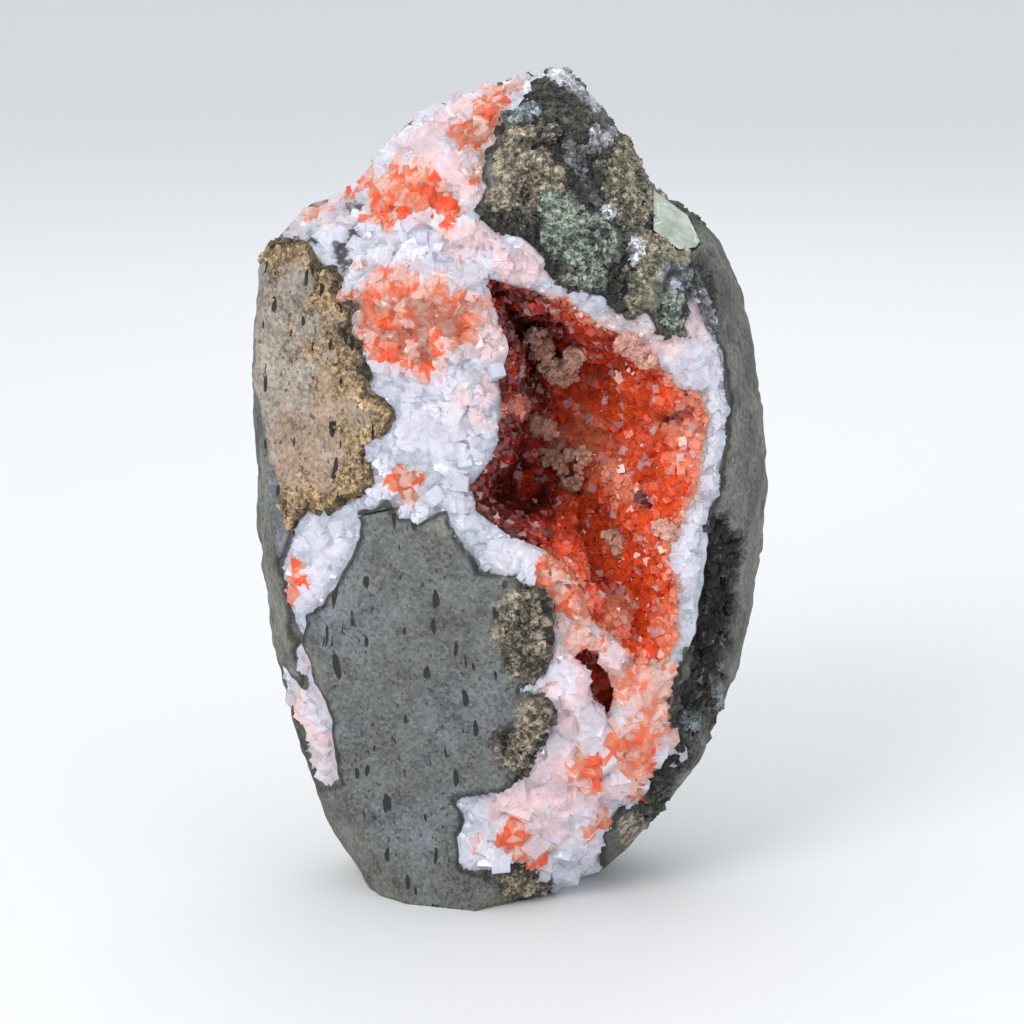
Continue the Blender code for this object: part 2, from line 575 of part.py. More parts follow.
def build():
    """Makes the four pieces."""
    for old in list(bpy.data.objects):
        bpy.data.objects.remove(old)
    parts = bpy.data.collections.new("chabazite_geode")
    cutters = bpy.data.collections.new("cutters")
    bpy.context.scene.collection.children.link(parts)
    bpy.context.scene.collection.children.link(cutters)

    # Cutters
    window = finish("window", column(WINDOW, NEAR, 60.0), cutters)
    blank = finish("layer_blank", layer_blank(0.0), cutters)
    boolean(window, "INTERSECT", blank)
    layer_window = finish("layer_window", column(inset(WINDOW, GAP), NEAR, 60.0), cutters)
    layer_core = finish("layer_core", layer_blank(GAP), cutters)
    boolean(layer_window, "INTERSECT", layer_core)
    hollow = finish("hollow", hollow_void(), cutters)
    pocket = finish("pocket", skin_cut(SMALL_POCKET, POCKET_DEPTH), cutters)
    trough = finish("trough", skin_cut(TROUGH, TROUGH_DEPTH), cutters)
    bed_depth = GREEN_ROOT_DEPTH + GAP
    green_bed = finish("green_bed", column(inset(GREEN, -GAP), NEAR, bed_depth), cutters)
    pits = finish("pits", bubbles(), cutters)
    druse_rhombs = finish("druse_rhombs", crust_crystals(), cutters)
    white_rhombs = finish("white_rhombs", white_crystals(), cutters)
    blocks = finish("broken_blocks", broken_blocks(), cutters)

    # The host rock
    mesh = nodule(0.0)
    flat_base(mesh)
    rock = finish("basalt_matrix", mesh, parts)
    boolean(rock, "UNION", blocks)
    boolean(rock, "DIFFERENCE", window)
    boolean(rock, "DIFFERENCE", trough)
    boolean(rock, "DIFFERENCE", green_bed)
    boolean(rock, "DIFFERENCE", pits)
    rock.data.materials.append(material("basalt", (0.115, 0.12, 0.11), 0.75))

    # The white layer
    mesh = nodule(WHITE_RECESS)
    flat_base(mesh)
    white = finish("white_zeolite_band", mesh, parts)
    boolean(white, "INTERSECT", layer_window)
    boolean(white, "DIFFERENCE", hollow)
    boolean(white, "DIFFERENCE", pocket)
    boolean(white, "UNION", white_rhombs)
    white.data.materials.append(material("white_zeolite", (0.75, 0.70, 0.72), 0.45))

    # The crust of the hollow
    druse = finish("chabazite_druse", crust_cup(), parts)
    boolean(druse, "UNION", druse_rhombs)
    druse.data.materials.append(material("chabazite", (0.62, 0.13, 0.04), 0.3))

    # The pale green crystal
    outline = np.array(GREEN, float)
    face = plane(GREEN_FACE, outline[:, 0], outline[:, 1])
    green = finish("pale_green_crystal", column(GREEN, face, GREEN_ROOT_DEPTH), parts)
    green.data.materials.append(material("green_crystal", (0.35, 0.42, 0.34), 0.2))

    for piece in cutters.objects:
        piece.hide_render = True
        piece.display_type = "WIRE"


build()
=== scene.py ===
# %% [markdown]
# This is a lesson in dressing a stone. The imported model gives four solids: the basalt nodule, the white
# zeolite layer in it, the crust that lines its hollow and one pale green crystal. Each of the first three
# is replaced by a finer surface in the same place, worked out with numpy from the same named shapes.
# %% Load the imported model
import math

import bpy
import numpy as np
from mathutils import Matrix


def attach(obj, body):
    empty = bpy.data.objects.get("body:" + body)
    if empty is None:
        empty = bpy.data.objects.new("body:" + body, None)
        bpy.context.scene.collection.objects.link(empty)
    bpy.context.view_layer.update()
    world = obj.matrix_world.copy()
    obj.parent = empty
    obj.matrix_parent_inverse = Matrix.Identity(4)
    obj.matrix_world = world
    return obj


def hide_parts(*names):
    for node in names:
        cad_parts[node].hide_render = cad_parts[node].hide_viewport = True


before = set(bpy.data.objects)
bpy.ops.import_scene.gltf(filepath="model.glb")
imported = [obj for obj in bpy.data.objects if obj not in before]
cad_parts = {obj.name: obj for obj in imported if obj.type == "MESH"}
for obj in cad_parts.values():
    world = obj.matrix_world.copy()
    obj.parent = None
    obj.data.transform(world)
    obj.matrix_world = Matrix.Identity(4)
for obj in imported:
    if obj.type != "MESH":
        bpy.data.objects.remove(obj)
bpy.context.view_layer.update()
print("nodes:", ", ".join(sorted(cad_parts)))

# %% [markdown]
# The stone was measured on its front, in millimetres across and up from the middle, as an eye 0.9 m away
# and 12 degrees above the horizon sees it. Depth is counted behind the plane of the widest outline. One
# function turns such a place into metres in the model's frame, so every piece below can be drawn on the
# front and still be a solid thing from any side.
# %% From the eye's view to the model's frame
MM = 0.001
EYE_DISTANCE = 900.0
LOOK_DOWN = math.radians(12.0)
LEAN = -0.15  # the widest outline leans towards the eye as it goes up
MIDDLE_HEIGHT = 94.6
TO_MIDDLE = (-0.22, -0.72)


def seen(across, up, depth):
    """Metres in the frame: the place is pushed back along the ray of sight by its depth, then the
    view is tipped down by LOOK_DOWN and lifted to the height of the stone's middle."""
    behind = depth + LEAN * up
    nearness = 1.0 + behind / EYE_DISTANCE
    side = across * nearness
    rise = up * nearness
    back = rise * math.sin(LOOK_DOWN) + behind * math.cos(LOOK_DOWN)
    height = rise * math.cos(LOOK_DOWN) - behind * math.sin(LOOK_DOWN) + MIDDLE_HEIGHT
    return np.stack([side + TO_MIDDLE[0], back + TO_MIDDLE[1], height], axis=-1) * MM


def front_of(grid):
    """(across, up) of places in the frame, as the eye sees them."""
    moved = grid / MM - np.array([*TO_MIDDLE, MIDDLE_HEIGHT])
    behind = moved[..., 1] * math.cos(LOOK_DOWN) - moved[..., 2] * math.sin(LOOK_DOWN)
    rise = moved[..., 1] * math.sin(LOOK_DOWN) + moved[..., 2] * math.cos(LOOK_DOWN)
    nearness = 1.0 + behind / EYE_DISTANCE
    return moved[..., 0] / nearness, rise / nearness


print("the middle of the front is at", seen(0.0, 0.0, 0.0).round(4))

# %% [markdown]
# The drawing of the front: the outline of the stone, the window that the rock leaves open over the white
# layer, the mouth of the hollow, a small pocket below it, and the broken trough on the right.
# %% Outlines of the front
CENTRE = (16.6, 4.7)
OUTLINE = [
    (9, 100.5), (11.5, 100.5), (16.5, 96), (21.5, 90), (28, 81), (33, 72.5), (40.5, 67), (48, 61),
    (53, 51.5), (57, 36.5), (59.5, 19), (60.5, 2.5), (59.5, -12), (57, -29.5), (53.5, -43.5),
    (49.5, -52.5), (44, -65), (35, -76.5), (24.5, -87.5), (9.5, -97), (-2.5, -104.5),
    (-17.5, -116.5), (-27.5, -104), (-37.5, -87.5), (-44.5, -75), (-50.5, -57.5), (-55.5, -36.5),
    (-58, -20.5), (-60, -2.5), (-60.5, 21), (-60.5, 40.5), (-59, 53.5), (-54, 61.5), (-48, 68),
    (-40, 69.5), (-36, 73), (-29, 83.5), (-20, 91), (-9, 93.5), (3.5, 98.5),
]
WINDOW = [
    (-58.5, 59), (-53.5, 66), (-47, 71), (-39, 73), (-32.5, 83), (-21.5, 92.5), (-2.5, 99.5),
    (9, 104), (5.5, 96), (4, 92.5), (-1.5, 89.5), (-5.5, 79.5), (-6.5, 70), (-8.5, 66), (-4, 62),
    (0, 60.5), (7, 55.5), (11, 49.5), (19, 45.5), (29, 40), (32, 41.5), (35.5, 36), (43, 36),
    (41.5, 46.5), (36.5, 47.5), (38.5, 52), (42.5, 49.5), (49, 35.5), (51.5, 25.5), (52, 13),
    (50, 2.5), (48, -4), (46.5, -11.5), (44, -30.5), (39.5, -45), (37.5, -52), (39, -61.5),
    (33.5, -66.5), (32, -74.5), (25, -77), (22, -82.5), (22.5, -90), (25.5, -97), (11, -100.5),
    (10, -93.5), (0.5, -88), (-5.5, -91), (-11.5, -89.5), (-12.5, -85), (-10.5, -78.5),
    (-13.5, -73), (-2.5, -72), (3, -67.5), (6, -61), (11.5, -52.5), (8.5, -48), (2, -47.5),
    (7, -43), (10.5, -31), (6.5, -23), (1, -20), (-8, -20), (-11, -13), (-15, -5), (-21.5, -8),
    (-26, -7), (-29.5, -2), (-35.5, -5.5), (-35, -12), (-41, -22), (-44, -27.5), (-48.5, -29.5),
    (-49, -38.5), (-44.5, -49.5), (-42, -58), (-41, -69.5), (-44.5, -71), (-47.5, -63.5),
    (-50.5, -52), (-56.5, -47.5), (-57, -40.5), (-53.5, -42), (-49, -49.5), (-52, -27.5),
    (-54, -16.5), (-52, -11), (-49, -5), (-42, -3.5), (-32.5, 1.5), (-34, 10.5), (-26.5, 17),
    (-27.5, 21), (-33.5, 23), (-35.5, 33), (-39, 38), (-36.5, 43), (-41, 45.5), (-41.5, 53),
    (-45.5, 53.5), (-48.5, 59.5), (-52.5, 59.5),
]
MOUTH = [
    (-6, 50.5), (4.5, 47), (13, 44.5), (19, 40), (28, 36), (31.5, 33), (35.5, 29.5), (40, 24),
    (45, 23), (47, 18), (45.5, 9.5), (44.5, 0), (41.5, -5), (37.5, -14.5), (39.5, -23.5),
    (39.5, -35.5), (36.5, -41), (29.5, -41), (24, -34), (19, -31), (18, -26), (16, -20), (8, -14),
    (0, -11), (-8, -5), (-9, 1), (-3.5, 8.5), (-1.5, 18), (-2.5, 26), (0, 34), (-3.5, 43),
]
SMALL_POCKET = [
    (14.5, -37.5), (19, -36.5), (23, -41), (27, -49), (23, -58), (19.5, -50), (16.5, -44.5),
]
GREEN = [(34, 71), (42, 65), (45, 59), (44, 57.5), (40, 57), (34, 61.5)]
TROUGH = [
    (47.5, -12), (49.5, -9), (52.5, -13), (51.5, -26), (49, -40), (45.5, -51), (42.5, -53.5),
    (41.5, -49.5), (44.5, -38), (46, -26),
]


def around(angle, radius):
    """(across, up) of the place a radius away from CENTRE in a direction."""
    return CENTRE[0] + radius * np.cos(angle), CENTRE[1] + radius * np.sin(angle)


def reach(outline, angle):
    """How far an outline lies from CENTRE in each direction: along the straight run between corners
    1 and 2 it is r1 r2 sin(a2 - a1) / (r1 sin(a - a1) + r2 sin(a2 - a))."""
    points = np.array(outline, float) - CENTRE
    turn = np.arctan2(points[:, 1], points[:, 0])
    radius = np.hypot(points[:, 0], points[:, 1])
    order = np.argsort(turn)
    turn = np.concatenate([turn[order][-1:] - math.tau, turn[order], turn[order][:1] + math.tau])
    radius = np.concatenate([radius[order][-1:], radius[order], radius[order][:1]])
    angle = (angle + math.pi) % math.tau - math.pi
    after = np.clip(np.searchsorted(turn, angle, side="right"), 1, len(turn) - 1)
    first, second = turn[after - 1], turn[after]
    near, far = radius[after - 1], radius[after]
    chord = near * np.sin(angle - first) + far * np.sin(second - angle)
    return near * far * np.sin(second - first) / np.maximum(chord, 1e-6)


def soft_reach(outline, angle, width):
    """The same, averaged over directions up to a width to either side, which rounds the corners."""
    return np.mean([reach(outline, angle + turn) for turn in np.linspace(-width, width, 7)], axis=0)


def inside_by(outline, across, up):
    """Distance to an outline, positive inside: the least distance to its runs, with the sign from
    how many of them a ray to the right crosses."""
    near = np.full(np.shape(across), 1e9)
    crossed = np.zeros(np.shape(across), int)
    for (ax, ay), (bx, by) in zip(outline, outline[1:] + outline[:1]):
        run_x, run_y = bx - ax, by - ay
        along = ((across - ax) * run_x + (up - ay) * run_y) / (run_x**2 + run_y**2)
        along = np.clip(along, 0.0, 1.0)
        near = np.minimum(near, np.hypot(across - ax - along * run_x, up - ay - along * run_y))
        if ay != by:
            crossed += ((ay > up) != (by > up)) & (ax + (up - ay) * run_x / run_y > across)
    return np.where(crossed % 2 == 1, near, -near)


def even_angles(outline, count):
    """Directions from CENTRE to places spaced evenly along an outline, in rising order."""
    points = np.array(outline + outline[:1], float)
    length = np.concatenate([[0.0], np.cumsum(np.hypot(*np.diff(points, axis=0).T))])
    spots = np.linspace(0.0, length[-1], count, endpoint=False)
    across, up = (np.interp(spots, length, points[:, k]) for k in (0, 1))
    return np.sort(np.arctan2(up - CENTRE[1], across - CENTRE[0]))


left_half = reach(OUTLINE, np.array(math.pi)).item()
print("the outline is", round(2 * left_half), "mm across, twice its left half")

# %% [markdown]
# Broken stone and crystals need noise. Three kinds do all the work here: smooth lumps from a lattice of
# random values, fields of three-sided pyramids like the corners of packed cubes, and soft steps that turn
# a distance into a mask.
# %% Noise
LATTICE_KEYS = np.array([73856093, 19349663, 83492791])


def hashed(cell, seed):
    """A random number from 0 to 1 for each lattice cell, the same one every time."""
    key = cell @ LATTICE_KEYS + seed * 668265263
    key = (((key ^ (key >> 13)) & 0xFFFFFFFF) * 1274126177) & 0xFFFFFFFF
    return ((key ^ (key >> 16)) & 0xFFFF) / 65535.0


def lumps(across, up, depth, size, seed):
    """Smooth noise from -1 to 1: a random value at each corner of a cubic lattice, blended between
    with the weight 3t^2 - 2t^3."""
    place = np.stack(np.broadcast_arrays(across, up, depth), axis=-1) / size
    cell = np.floor(place).astype(np.int64)
    part = place - cell
    part = part * part * (3.0 - 2.0 * part)
    total = 0.0
    for corner in np.ndindex(2, 2, 2):
        weight = np.prod(np.where(corner, part, 1.0 - part), axis=-1)
        total = total + (2.0 * hashed(cell + corner, seed) - 1.0) * weight
    return total


def rough(across, up, depth, size, seed, layers=3):
    """Lumps on lumps: each layer has half the size and six tenths of the height of the last."""
    return sum(0.6**k * lumps(across, up, depth, size * 0.5**k, seed + k) for k in range(layers))


def pyramids(across, up, size, steep, seed):
    """The tallest of many three-sided pyramids, in millimetres, and a random number for each: height
    is tip - steep * max(offset . d1, offset . d2, offset . d3), with three directions 120 degrees apart."""
    place = np.stack([across, up], axis=-1) / size
    cell = np.floor(place).astype(np.int64)
    top = np.full(across.shape, -1e9)
    owner = np.zeros(across.shape)
    for step in np.ndindex(3, 3):
        corner = cell + step - 1
        key = np.concatenate([corner, np.zeros_like(corner[..., :1])], axis=-1)
        off_x = place[..., 0] - corner[..., 0] - hashed(key, seed)
        off_y = place[..., 1] - corner[..., 1] - hashed(key, seed + 1)
        turn = hashed(key, seed + 2) * math.tau
        sides = [turn + k * math.tau / 3 for k in range(3)]
        fall = np.max([off_x * np.cos(side) + off_y * np.sin(side) for side in sides], axis=0)
        height = 0.7 * hashed(key, seed + 3) - steep * fall
        owner = np.where(height > top, hashed(key, seed + 4), owner)
        top = np.maximum(top, height)
    return top * size, owner


def step_up(value, low, high):
    """0 below low, 1 above high, and a smooth rise between."""
    part = np.clip((value - low) / (high - low), 0.0, 1.0)
    return part * part * (3.0 - 2.0 * part)


def spot(across, up, middle, radii, seed, raggedness=0.35):
    """A mask round a middle: 1 inside, 0 outside an ellipse whose edge is ragged."""
    away = np.hypot((across - middle[0]) / radii[0], (up - middle[1]) / radii[1])
    away = away + raggedness * rough(across, up, 0.0, 0.7 * max(radii), seed)
    return 1.0 - step_up(away, 0.65, 1.1)


def all_spots(across, up, places, seed, raggedness=0.35):
    """The strongest of many spots; the third value of a spot, if it has one, is its strength."""
    strengths = [where[2] if len(where) > 2 else 1.0 for where in places]
    masks = [spot(across, up, *where[:2], seed, raggedness) for where in places]
    return np.max([strength * mask for strength, mask in zip(strengths, masks)], axis=0)


print("noise from", lumps(0.0, 0.0, 0.0, 5.0, 1).round(3), "to", lumps(9.0, 4.0, 1.0, 5.0, 1).round(3))

# %% [markdown]
# The skin of the nodule is one bulge in front, cut back by flat ground faces, and a deeper one behind.
# It is a function of two numbers: the direction from CENTRE, and a ring that runs from 0 in the middle of
# the front through 0.5 at the outline to 1 in the middle of the back.
# %% The skin of the nodule
FRONT_BULGE = 48.0
BACK_BULGE = 52.0
FULLNESS = 0.85
FACETS = {
    "left plate": ((-45.0, 25.0), -23.0, (-0.75, 0.05)),
    "lower plate": ((-15.0, -45.0), -35.5, (-0.35, -0.25)),
    "upper right plate": ((19.0, 64.0), -35.0, (0.2, 0.5)),
    "upper left face": ((-12.0, 72.0), -28.0, (-0.2, 0.5)),
}
ROUGH_PATCHES = [
    ((18.0, 66.0), 30.0, 2.2),
    ((5.0, -35.0), 9.0, 1.2),
    ((3.5, -60.0), 9.0, 1.2),
    ((2.0, -93.0), 8.0, 1.0),
]
BACK_LUMPS = 1.6
BACK_SOFTENING = 0.7
CORNER_SOFTENING = 0.03


def plane(facet, across, up):
    """Depth of a flat face: its level in the middle plus its slopes."""
    (middle_x, middle_y), level, (slope_x, slope_y) = facet
    return level + slope_x * (across - middle_x) + slope_y * (up - middle_y)


def outward(angle, radius):
    """Share of the way from CENTRE to the outline."""
    return np.clip(radius / soft_reach(OUTLINE, angle, CORNER_SOFTENING), 0.0, 1.0)


def front_rise(across, up):
    """1 in the middle of the front and 0 at the outline: sqrt(1 - share^2)."""
    angle = np.arctan2(up - CENTRE[1], across - CENTRE[0])
    radius = np.hypot(across - CENTRE[0], up - CENTRE[1])
    return np.sqrt(1.0 - outward(angle, radius) ** 2)


def front_depth(across, up, patches=True):
    """Depth of the front skin: -FRONT_BULGE rise^FULLNESS, never nearer than a facet."""
    rise = front_rise(across, up)
    depth = -FRONT_BULGE * rise**FULLNESS
    for facet in FACETS.values():
        depth = np.maximum(depth, np.minimum(plane(facet, across, up), 0.0))
    if patches:
        for (patch_x, patch_y), radius, height in ROUGH_PATCHES:
            near = np.clip(1.6 - np.hypot(across - patch_x, up - patch_y) / radius, 0.0, 1.0)
            knobs = 0.65 * lumps(across, up, 0.0, 13.0, 3) + 0.45 * lumps(across, up, 0.0, 6.5, 4)
            depth = depth + np.minimum(rise * 2.5, 1.0) * near * height * knobs
    return depth


def skin(angle, ring):
    """(across, up, depth) on the skin: share of the way out is sin(pi ring)."""
    share = np.sin(math.pi * ring)
    outline = soft_reach(OUTLINE, angle, CORNER_SOFTENING)
    behind = soft_reach(OUTLINE, angle, BACK_SOFTENING)
    radius = share * np.where(ring <= 0.5, outline, behind + (outline - behind) * share**4)
    across, up = around(angle, radius)
    rise = np.sqrt(np.clip(1.0 - share**2, 0.0, 1.0))
    broad = lumps(share * np.cos(angle), share * np.sin(angle), 0.0, 0.45, 7)
    back = BACK_BULGE * rise**0.8 + BACK_LUMPS * broad * rise
    return across, up, np.where(ring <= 0.5, front_depth(across, up), back)


def lifted(angle, ring, place, height):
    """A place on the skin moved out by a height: sideways at the outline, else along the sight."""
    across, up, depth = place
    sideways = np.sin(math.pi * ring) ** 6
    towards = np.where(ring <= 0.5, -1.0, 1.0) * (1.0 - sideways)
    across = across + height * sideways * np.cos(angle)
    up = up + height * sideways * np.sin(angle)
    return across, up, depth + height * towards


def ring_at(angle, radius):
    """The ring on the front where the skin is a radius away from CENTRE."""
    return np.arcsin(outward(angle, radius)) / math.pi


print("the front is", round(-front_depth(np.array(CENTRE[0]), np.array(CENTRE[1])).item(), 1), "mm proud")

# %% [markdown]
# A surface of two parameters becomes a mesh as rings of points joined by quads, closed at both ends by a
# fan of triangles. Masks, such as how near a point is to a vein, are stored on the points for the
# materials to read.
# %% From arrays to meshes
def make_piece(name, points, faces, material, masks=None, smooth=False):
    """Puts points and a list of face arrays, one for each number of corners, into a mesh object."""
    counts = np.concatenate([np.full(len(face), face.shape[1]) for face in faces])
    corners = np.concatenate([face.ravel() for face in faces])
    mesh = bpy.data.meshes.new(name)
    mesh.vertices.add(len(points))
    mesh.vertices.foreach_set("co", np.ascontiguousarray(points, np.float32).ravel())
    mesh.loops.add(len(corners))
    mesh.loops.foreach_set("vertex_index", corners.astype(np.int32))
    mesh.polygons.add(len(counts))
    mesh.polygons.foreach_set("loop_start", (np.cumsum(counts) - counts).astype(np.int32))
    mesh.update(calc_edges=True)
    mesh.polygons.foreach_set("use_smooth", np.full(len(counts), smooth))
    for mask, values in (masks or {}).items():
        layer = mesh.attributes.new(mask, "FLOAT", "POINT")
        layer.data.foreach_set("value", np.ascontiguousarray(values, np.float32).ravel())
    mesh.materials.append(material)
    piece = bpy.data.objects.new(name, mesh)
    bpy.context.scene.collection.objects.link(piece)
    triangles = int(np.sum(counts - 2))
    print(f"{name}: {triangles} triangles")
    return piece


def closed_rings(rings, start, end):
    """Points and faces of rings of points, from a start pole to an end pole."""
    rows, columns = rings.shape[:2]
    points = np.concatenate([rings.reshape(-1, 3), [start, end]])
    number = np.arange(rows * columns).reshape(rows, columns)
    beside = np.roll(number, -1, axis=1)
    quads = np.stack([number[:-1], number[1:], beside[1:], beside[:-1]], axis=-1).reshape(-1, 4)
    first, last = len(points) - 2, len(points) - 1
    start_fan = np.stack([np.full(columns, first), number[0], beside[0]], axis=-1)
    end_fan = np.stack([number[-1], np.full(columns, last), beside[-1]], axis=-1)
    return points, [quads, np.concatenate([start_fan, end_fan])]


def with_poles(masks, rows_before, rows_after):
    """Masks of the visible rows, padded with zeros for the hidden rows and the two poles."""
    padded = {}
    for name, values in masks.items():
        before = np.zeros((rows_before, values.shape[1]))
        after = np.zeros((rows_after, values.shape[1]))
        padded[name] = np.append(np.concatenate([before, values, after]).ravel(), [0.0, 0.0])
    return padded


def grid_normals(grid):
    """Unit normals of a grid of points whose rows run outwards and columns anticlockwise."""
    down = np.gradient(grid, axis=0)
    round_way = np.roll(grid, -1, axis=1) - np.roll(grid, 1, axis=1)
    normal = np.cross(down, round_way)
    return normal / np.maximum(np.linalg.norm(normal, axis=-1, keepdims=True), 1e-12)


trial_points, trial_faces = closed_rings(np.zeros((2, 3, 3)), np.zeros(3), np.zeros(3))
trial_count = sum(map(len, trial_faces))
print("two rings of 3 points close with", len(trial_points), "points and", trial_count, "faces")

# %% [markdown]
# A chabazite crystal is a rhomb, nearly a cube, that stands on one corner. Thousands of them are made
# at once: the eight corners of a cube are turned so that a long diagonal points up, and then placed in a
# frame of their own for each crystal.
# %% Crystals by the thousand
CUBE_FACES = np.array(
    [[0, 1, 3, 2], [4, 6, 7, 5], [0, 4, 5, 1], [2, 3, 7, 6], [0, 2, 6, 4], [1, 5, 7, 3]]
)
DIAGONAL_FRAME = np.stack(
    [
        np.array([1, -1, 0]) / math.sqrt(2),
        np.array([1, 1, -2]) / math.sqrt(6),
        np.array([1, 1, 1]) / math.sqrt(3),
    ],
    axis=1,
)
CORNER_UP = (np.array(list(np.ndindex(2, 2, 2))) - 0.5) @ DIAGONAL_FRAME
SQUEEZE = 0.94


def rhombs(place, out, edge, lean, rng):
    """Points and faces of crystals at places, pointing out but leaning at random, edges in metres."""
    axis = out + lean * rng.normal(size=out.shape)
    axis /= np.linalg.norm(axis, axis=1, keepdims=True)
    first = np.cross(axis, rng.normal(size=out.shape))
    first /= np.linalg.norm(first, axis=1, keepdims=True)
    second = np.cross(axis, first)
    shape = CORNER_UP * np.array([1.0, 1.0, SQUEEZE])
    turned = (
        shape[None, :, :1] * first[:, None]
        + shape[None, :, 1:2] * second[:, None]
        + shape[None, :, 2:] * axis[:, None]
    )
    points = place[:, None] + turned * edge[:, None, None]
    faces = CUBE_FACES[None] + 8 * np.arange(len(place))[:, None, None]
    return points.reshape(-1, 3), faces.reshape(-1, 4)


def scatter(grid, density, count, rng):
    """Random places on a grid, as many to each cell as its area times its density asks, with the
    normals there and the rows and columns they fall in."""
    down = grid[1:] - grid[:-1]
    right = (np.roll(grid, -1, axis=1) - grid)[:-1]
    area = np.linalg.norm(np.cross(down, right), axis=-1)
    chance = (area * density[:-1]).ravel()
    picked = rng.choice(len(chance), count, p=chance / chance.sum())
    row, column = np.unravel_index(picked, area.shape)
    shift = rng.random((2, count, 1))
    place = grid[row, column] + shift[0] * down[row, column] + shift[1] * right[row, column]
    return place, grid_normals(grid)[row, column], row, column


def taken(masks, row, column):
    """Masks of crystals: all eight corners take the value of the place where the crystal grows."""
    return {name: np.repeat(values[row, column], 8) for name, values in masks.items()}


def nearest_on(grid, places):
    """The points of a grid that the eye sees nearest to some places, and the normals there."""
    front = np.stack(front_of(grid), axis=-1)
    nearest = [np.argmin(np.sum((front - place) ** 2, axis=-1)) for place in places]
    return grid.reshape(-1, 3)[nearest], grid_normals(grid).reshape(-1, 3)[nearest]


print("a crystal has", len(CORNER_UP), "corners and", len(CUBE_FACES), "faces")

# %% [markdown]
# A material is arithmetic on values that change over the surface. Wiring it node by node is long to read,
# so two small classes let it be written as arithmetic: a + b or a * b adds a Math node and hands back its
# output, and each helper adds one node.
# %% Shader helpers
class Value:
    """An output of a node. Sums and products with numbers or other values each add a Math node."""

    def __init__(self, recipe, socket):
        self.recipe = recipe
        self.socket = socket

    def __add__(self, other):
        return self.recipe.maths("ADD", self, other)

    def __sub__(self, other):
        return self.recipe.maths("SUBTRACT", self, other)

    def __rsub__(self, other):
        return self.recipe.maths("SUBTRACT", other, self)

    def __mul__(self, other):
        return self.recipe.maths("MULTIPLY", self, other)

    def __truediv__(self, other):
        return self.recipe.maths("DIVIDE", self, other)

    def beside(self, name):
        """Another output of the same node."""
        return Value(self.recipe, self.socket.node.outputs[name])


class Recipe:
    """A node tree, and one call for each kind of node that the finishes use."""

    def __init__(self, tree):
        self.tree = tree

    def fill(self, made, inputs):
        """Links the inputs that are values and sets the others."""
        for name, value in inputs.items():
            if isinstance(value, Value):
                self.tree.links.new(value.socket, made.inputs[name])
            else:
                made.inputs[name].default_value = value

    def node(self, kind, inputs, output=0, **settings):
        """Adds a shader node and hands back one of its outputs."""
        made = self.tree.nodes.new("ShaderNode" + kind)
        for name, value in settings.items():
            setattr(made, name, value)
        self.fill(made, inputs)
        return Value(self, made.outputs[output])

    def maths(self, operation, first, second):
        """A Math node."""
        return self.node("Math", {0: first, 1: second}, operation=operation)

    def larger(self, first, second):
        """The larger of two values."""
        return self.maths("MAXIMUM", first, second)

    def between(self, value, low, high):
        """0 below low, 1 above high, smooth between."""
        limits = {"Value": value, "From Min": low, "From Max": high}
        return self.node("MapRange", limits, interpolation_type="SMOOTHSTEP")

    def mixed(self, mask, under, over):
        """One colour over another where a mask is 1."""
        return self.node("Mix", {0: mask, 6: under, 7: over}, 2, data_type="RGBA")

    def noise(self, place, waves, detail=3.0, roughness=0.55, output="Fac"):
        """Noise with so many waves to a metre."""
        inputs = {"Vector": place, "Scale": waves, "Detail": detail, "Roughness": roughness}
        return self.node("TexNoise", inputs, output)

    def cloudy(self, place, waves, low, high, detail=3.0, roughness=0.55):
        """A mask with soft clouds: noise below low is 0, above high 1."""
        return self.between(self.noise(place, waves, detail, roughness), low, high)

    def cells(self, place, waves, **settings):
        """Distance to the nearest of scattered points, so many to a metre."""
        return self.node("TexVoronoi", {"Vector": place, "Scale": waves}, "Distance", **settings)

    def first_channel(self, tint):
        """The red channel of a colour, a random number where the colour is."""
        return self.node("SeparateColor", {"Color": tint})

    def mask(self, name):
        """A mask stored on the mesh."""
        return self.node("Attribute", {}, "Fac", attribute_name=name)

    def place(self):
        """Object coordinates, in metres."""
        return self.node("TexCoord", {}, "Object")

    def effect(self, group, **inputs):
        """Places a group and hands back its outputs by name."""
        made = self.tree.nodes.new("ShaderNodeGroup")
        made.node_tree = group
        self.fill(made, inputs)
        return {socket.name: Value(self, socket) for socket in made.outputs}


class Finish(Recipe):
    """A material with one Principled shader; values set its sockets."""

    def __init__(self, name, **values):
        self.material = bpy.data.materials.new(name)
        self.material.use_nodes = True
        super().__init__(self.material.node_tree)
        self.shader = self.tree.nodes["Principled BSDF"]
        self.fill(self.shader, {key.replace("_", " "): value for key, value in values.items()})

    def glow_within(self, *radii):
        """Lets light spread under the surface, by so much for red, green and blue."""
        self.shader.subsurface_method = "BURLEY"
        self.fill(self.shader, {"Subsurface Radius": radii})

    def paint(self, tint):
        """Feeds the base colour."""
        self.fill(self.shader, {"Base Color": tint})

    def bump(self, height, distance, strength=1.0):
        """Feeds a height through a Bump node to the shader's normal."""
        inputs = {"Height": height, "Distance": distance, "Strength": strength}
        self.fill(self.shader, {"Normal": self.node("Bump", inputs)})


def colour(red, green, blue):
    """A colour as a screen shows it, from 0 to 255, made linear for the shader."""
    share = np.array([red, green, blue]) / 255.0
    linear = np.where(share <= 0.04045, share / 12.92, ((share + 0.055) / 1.055) ** 2.4)
    return (*linear.tolist(), 1.0)


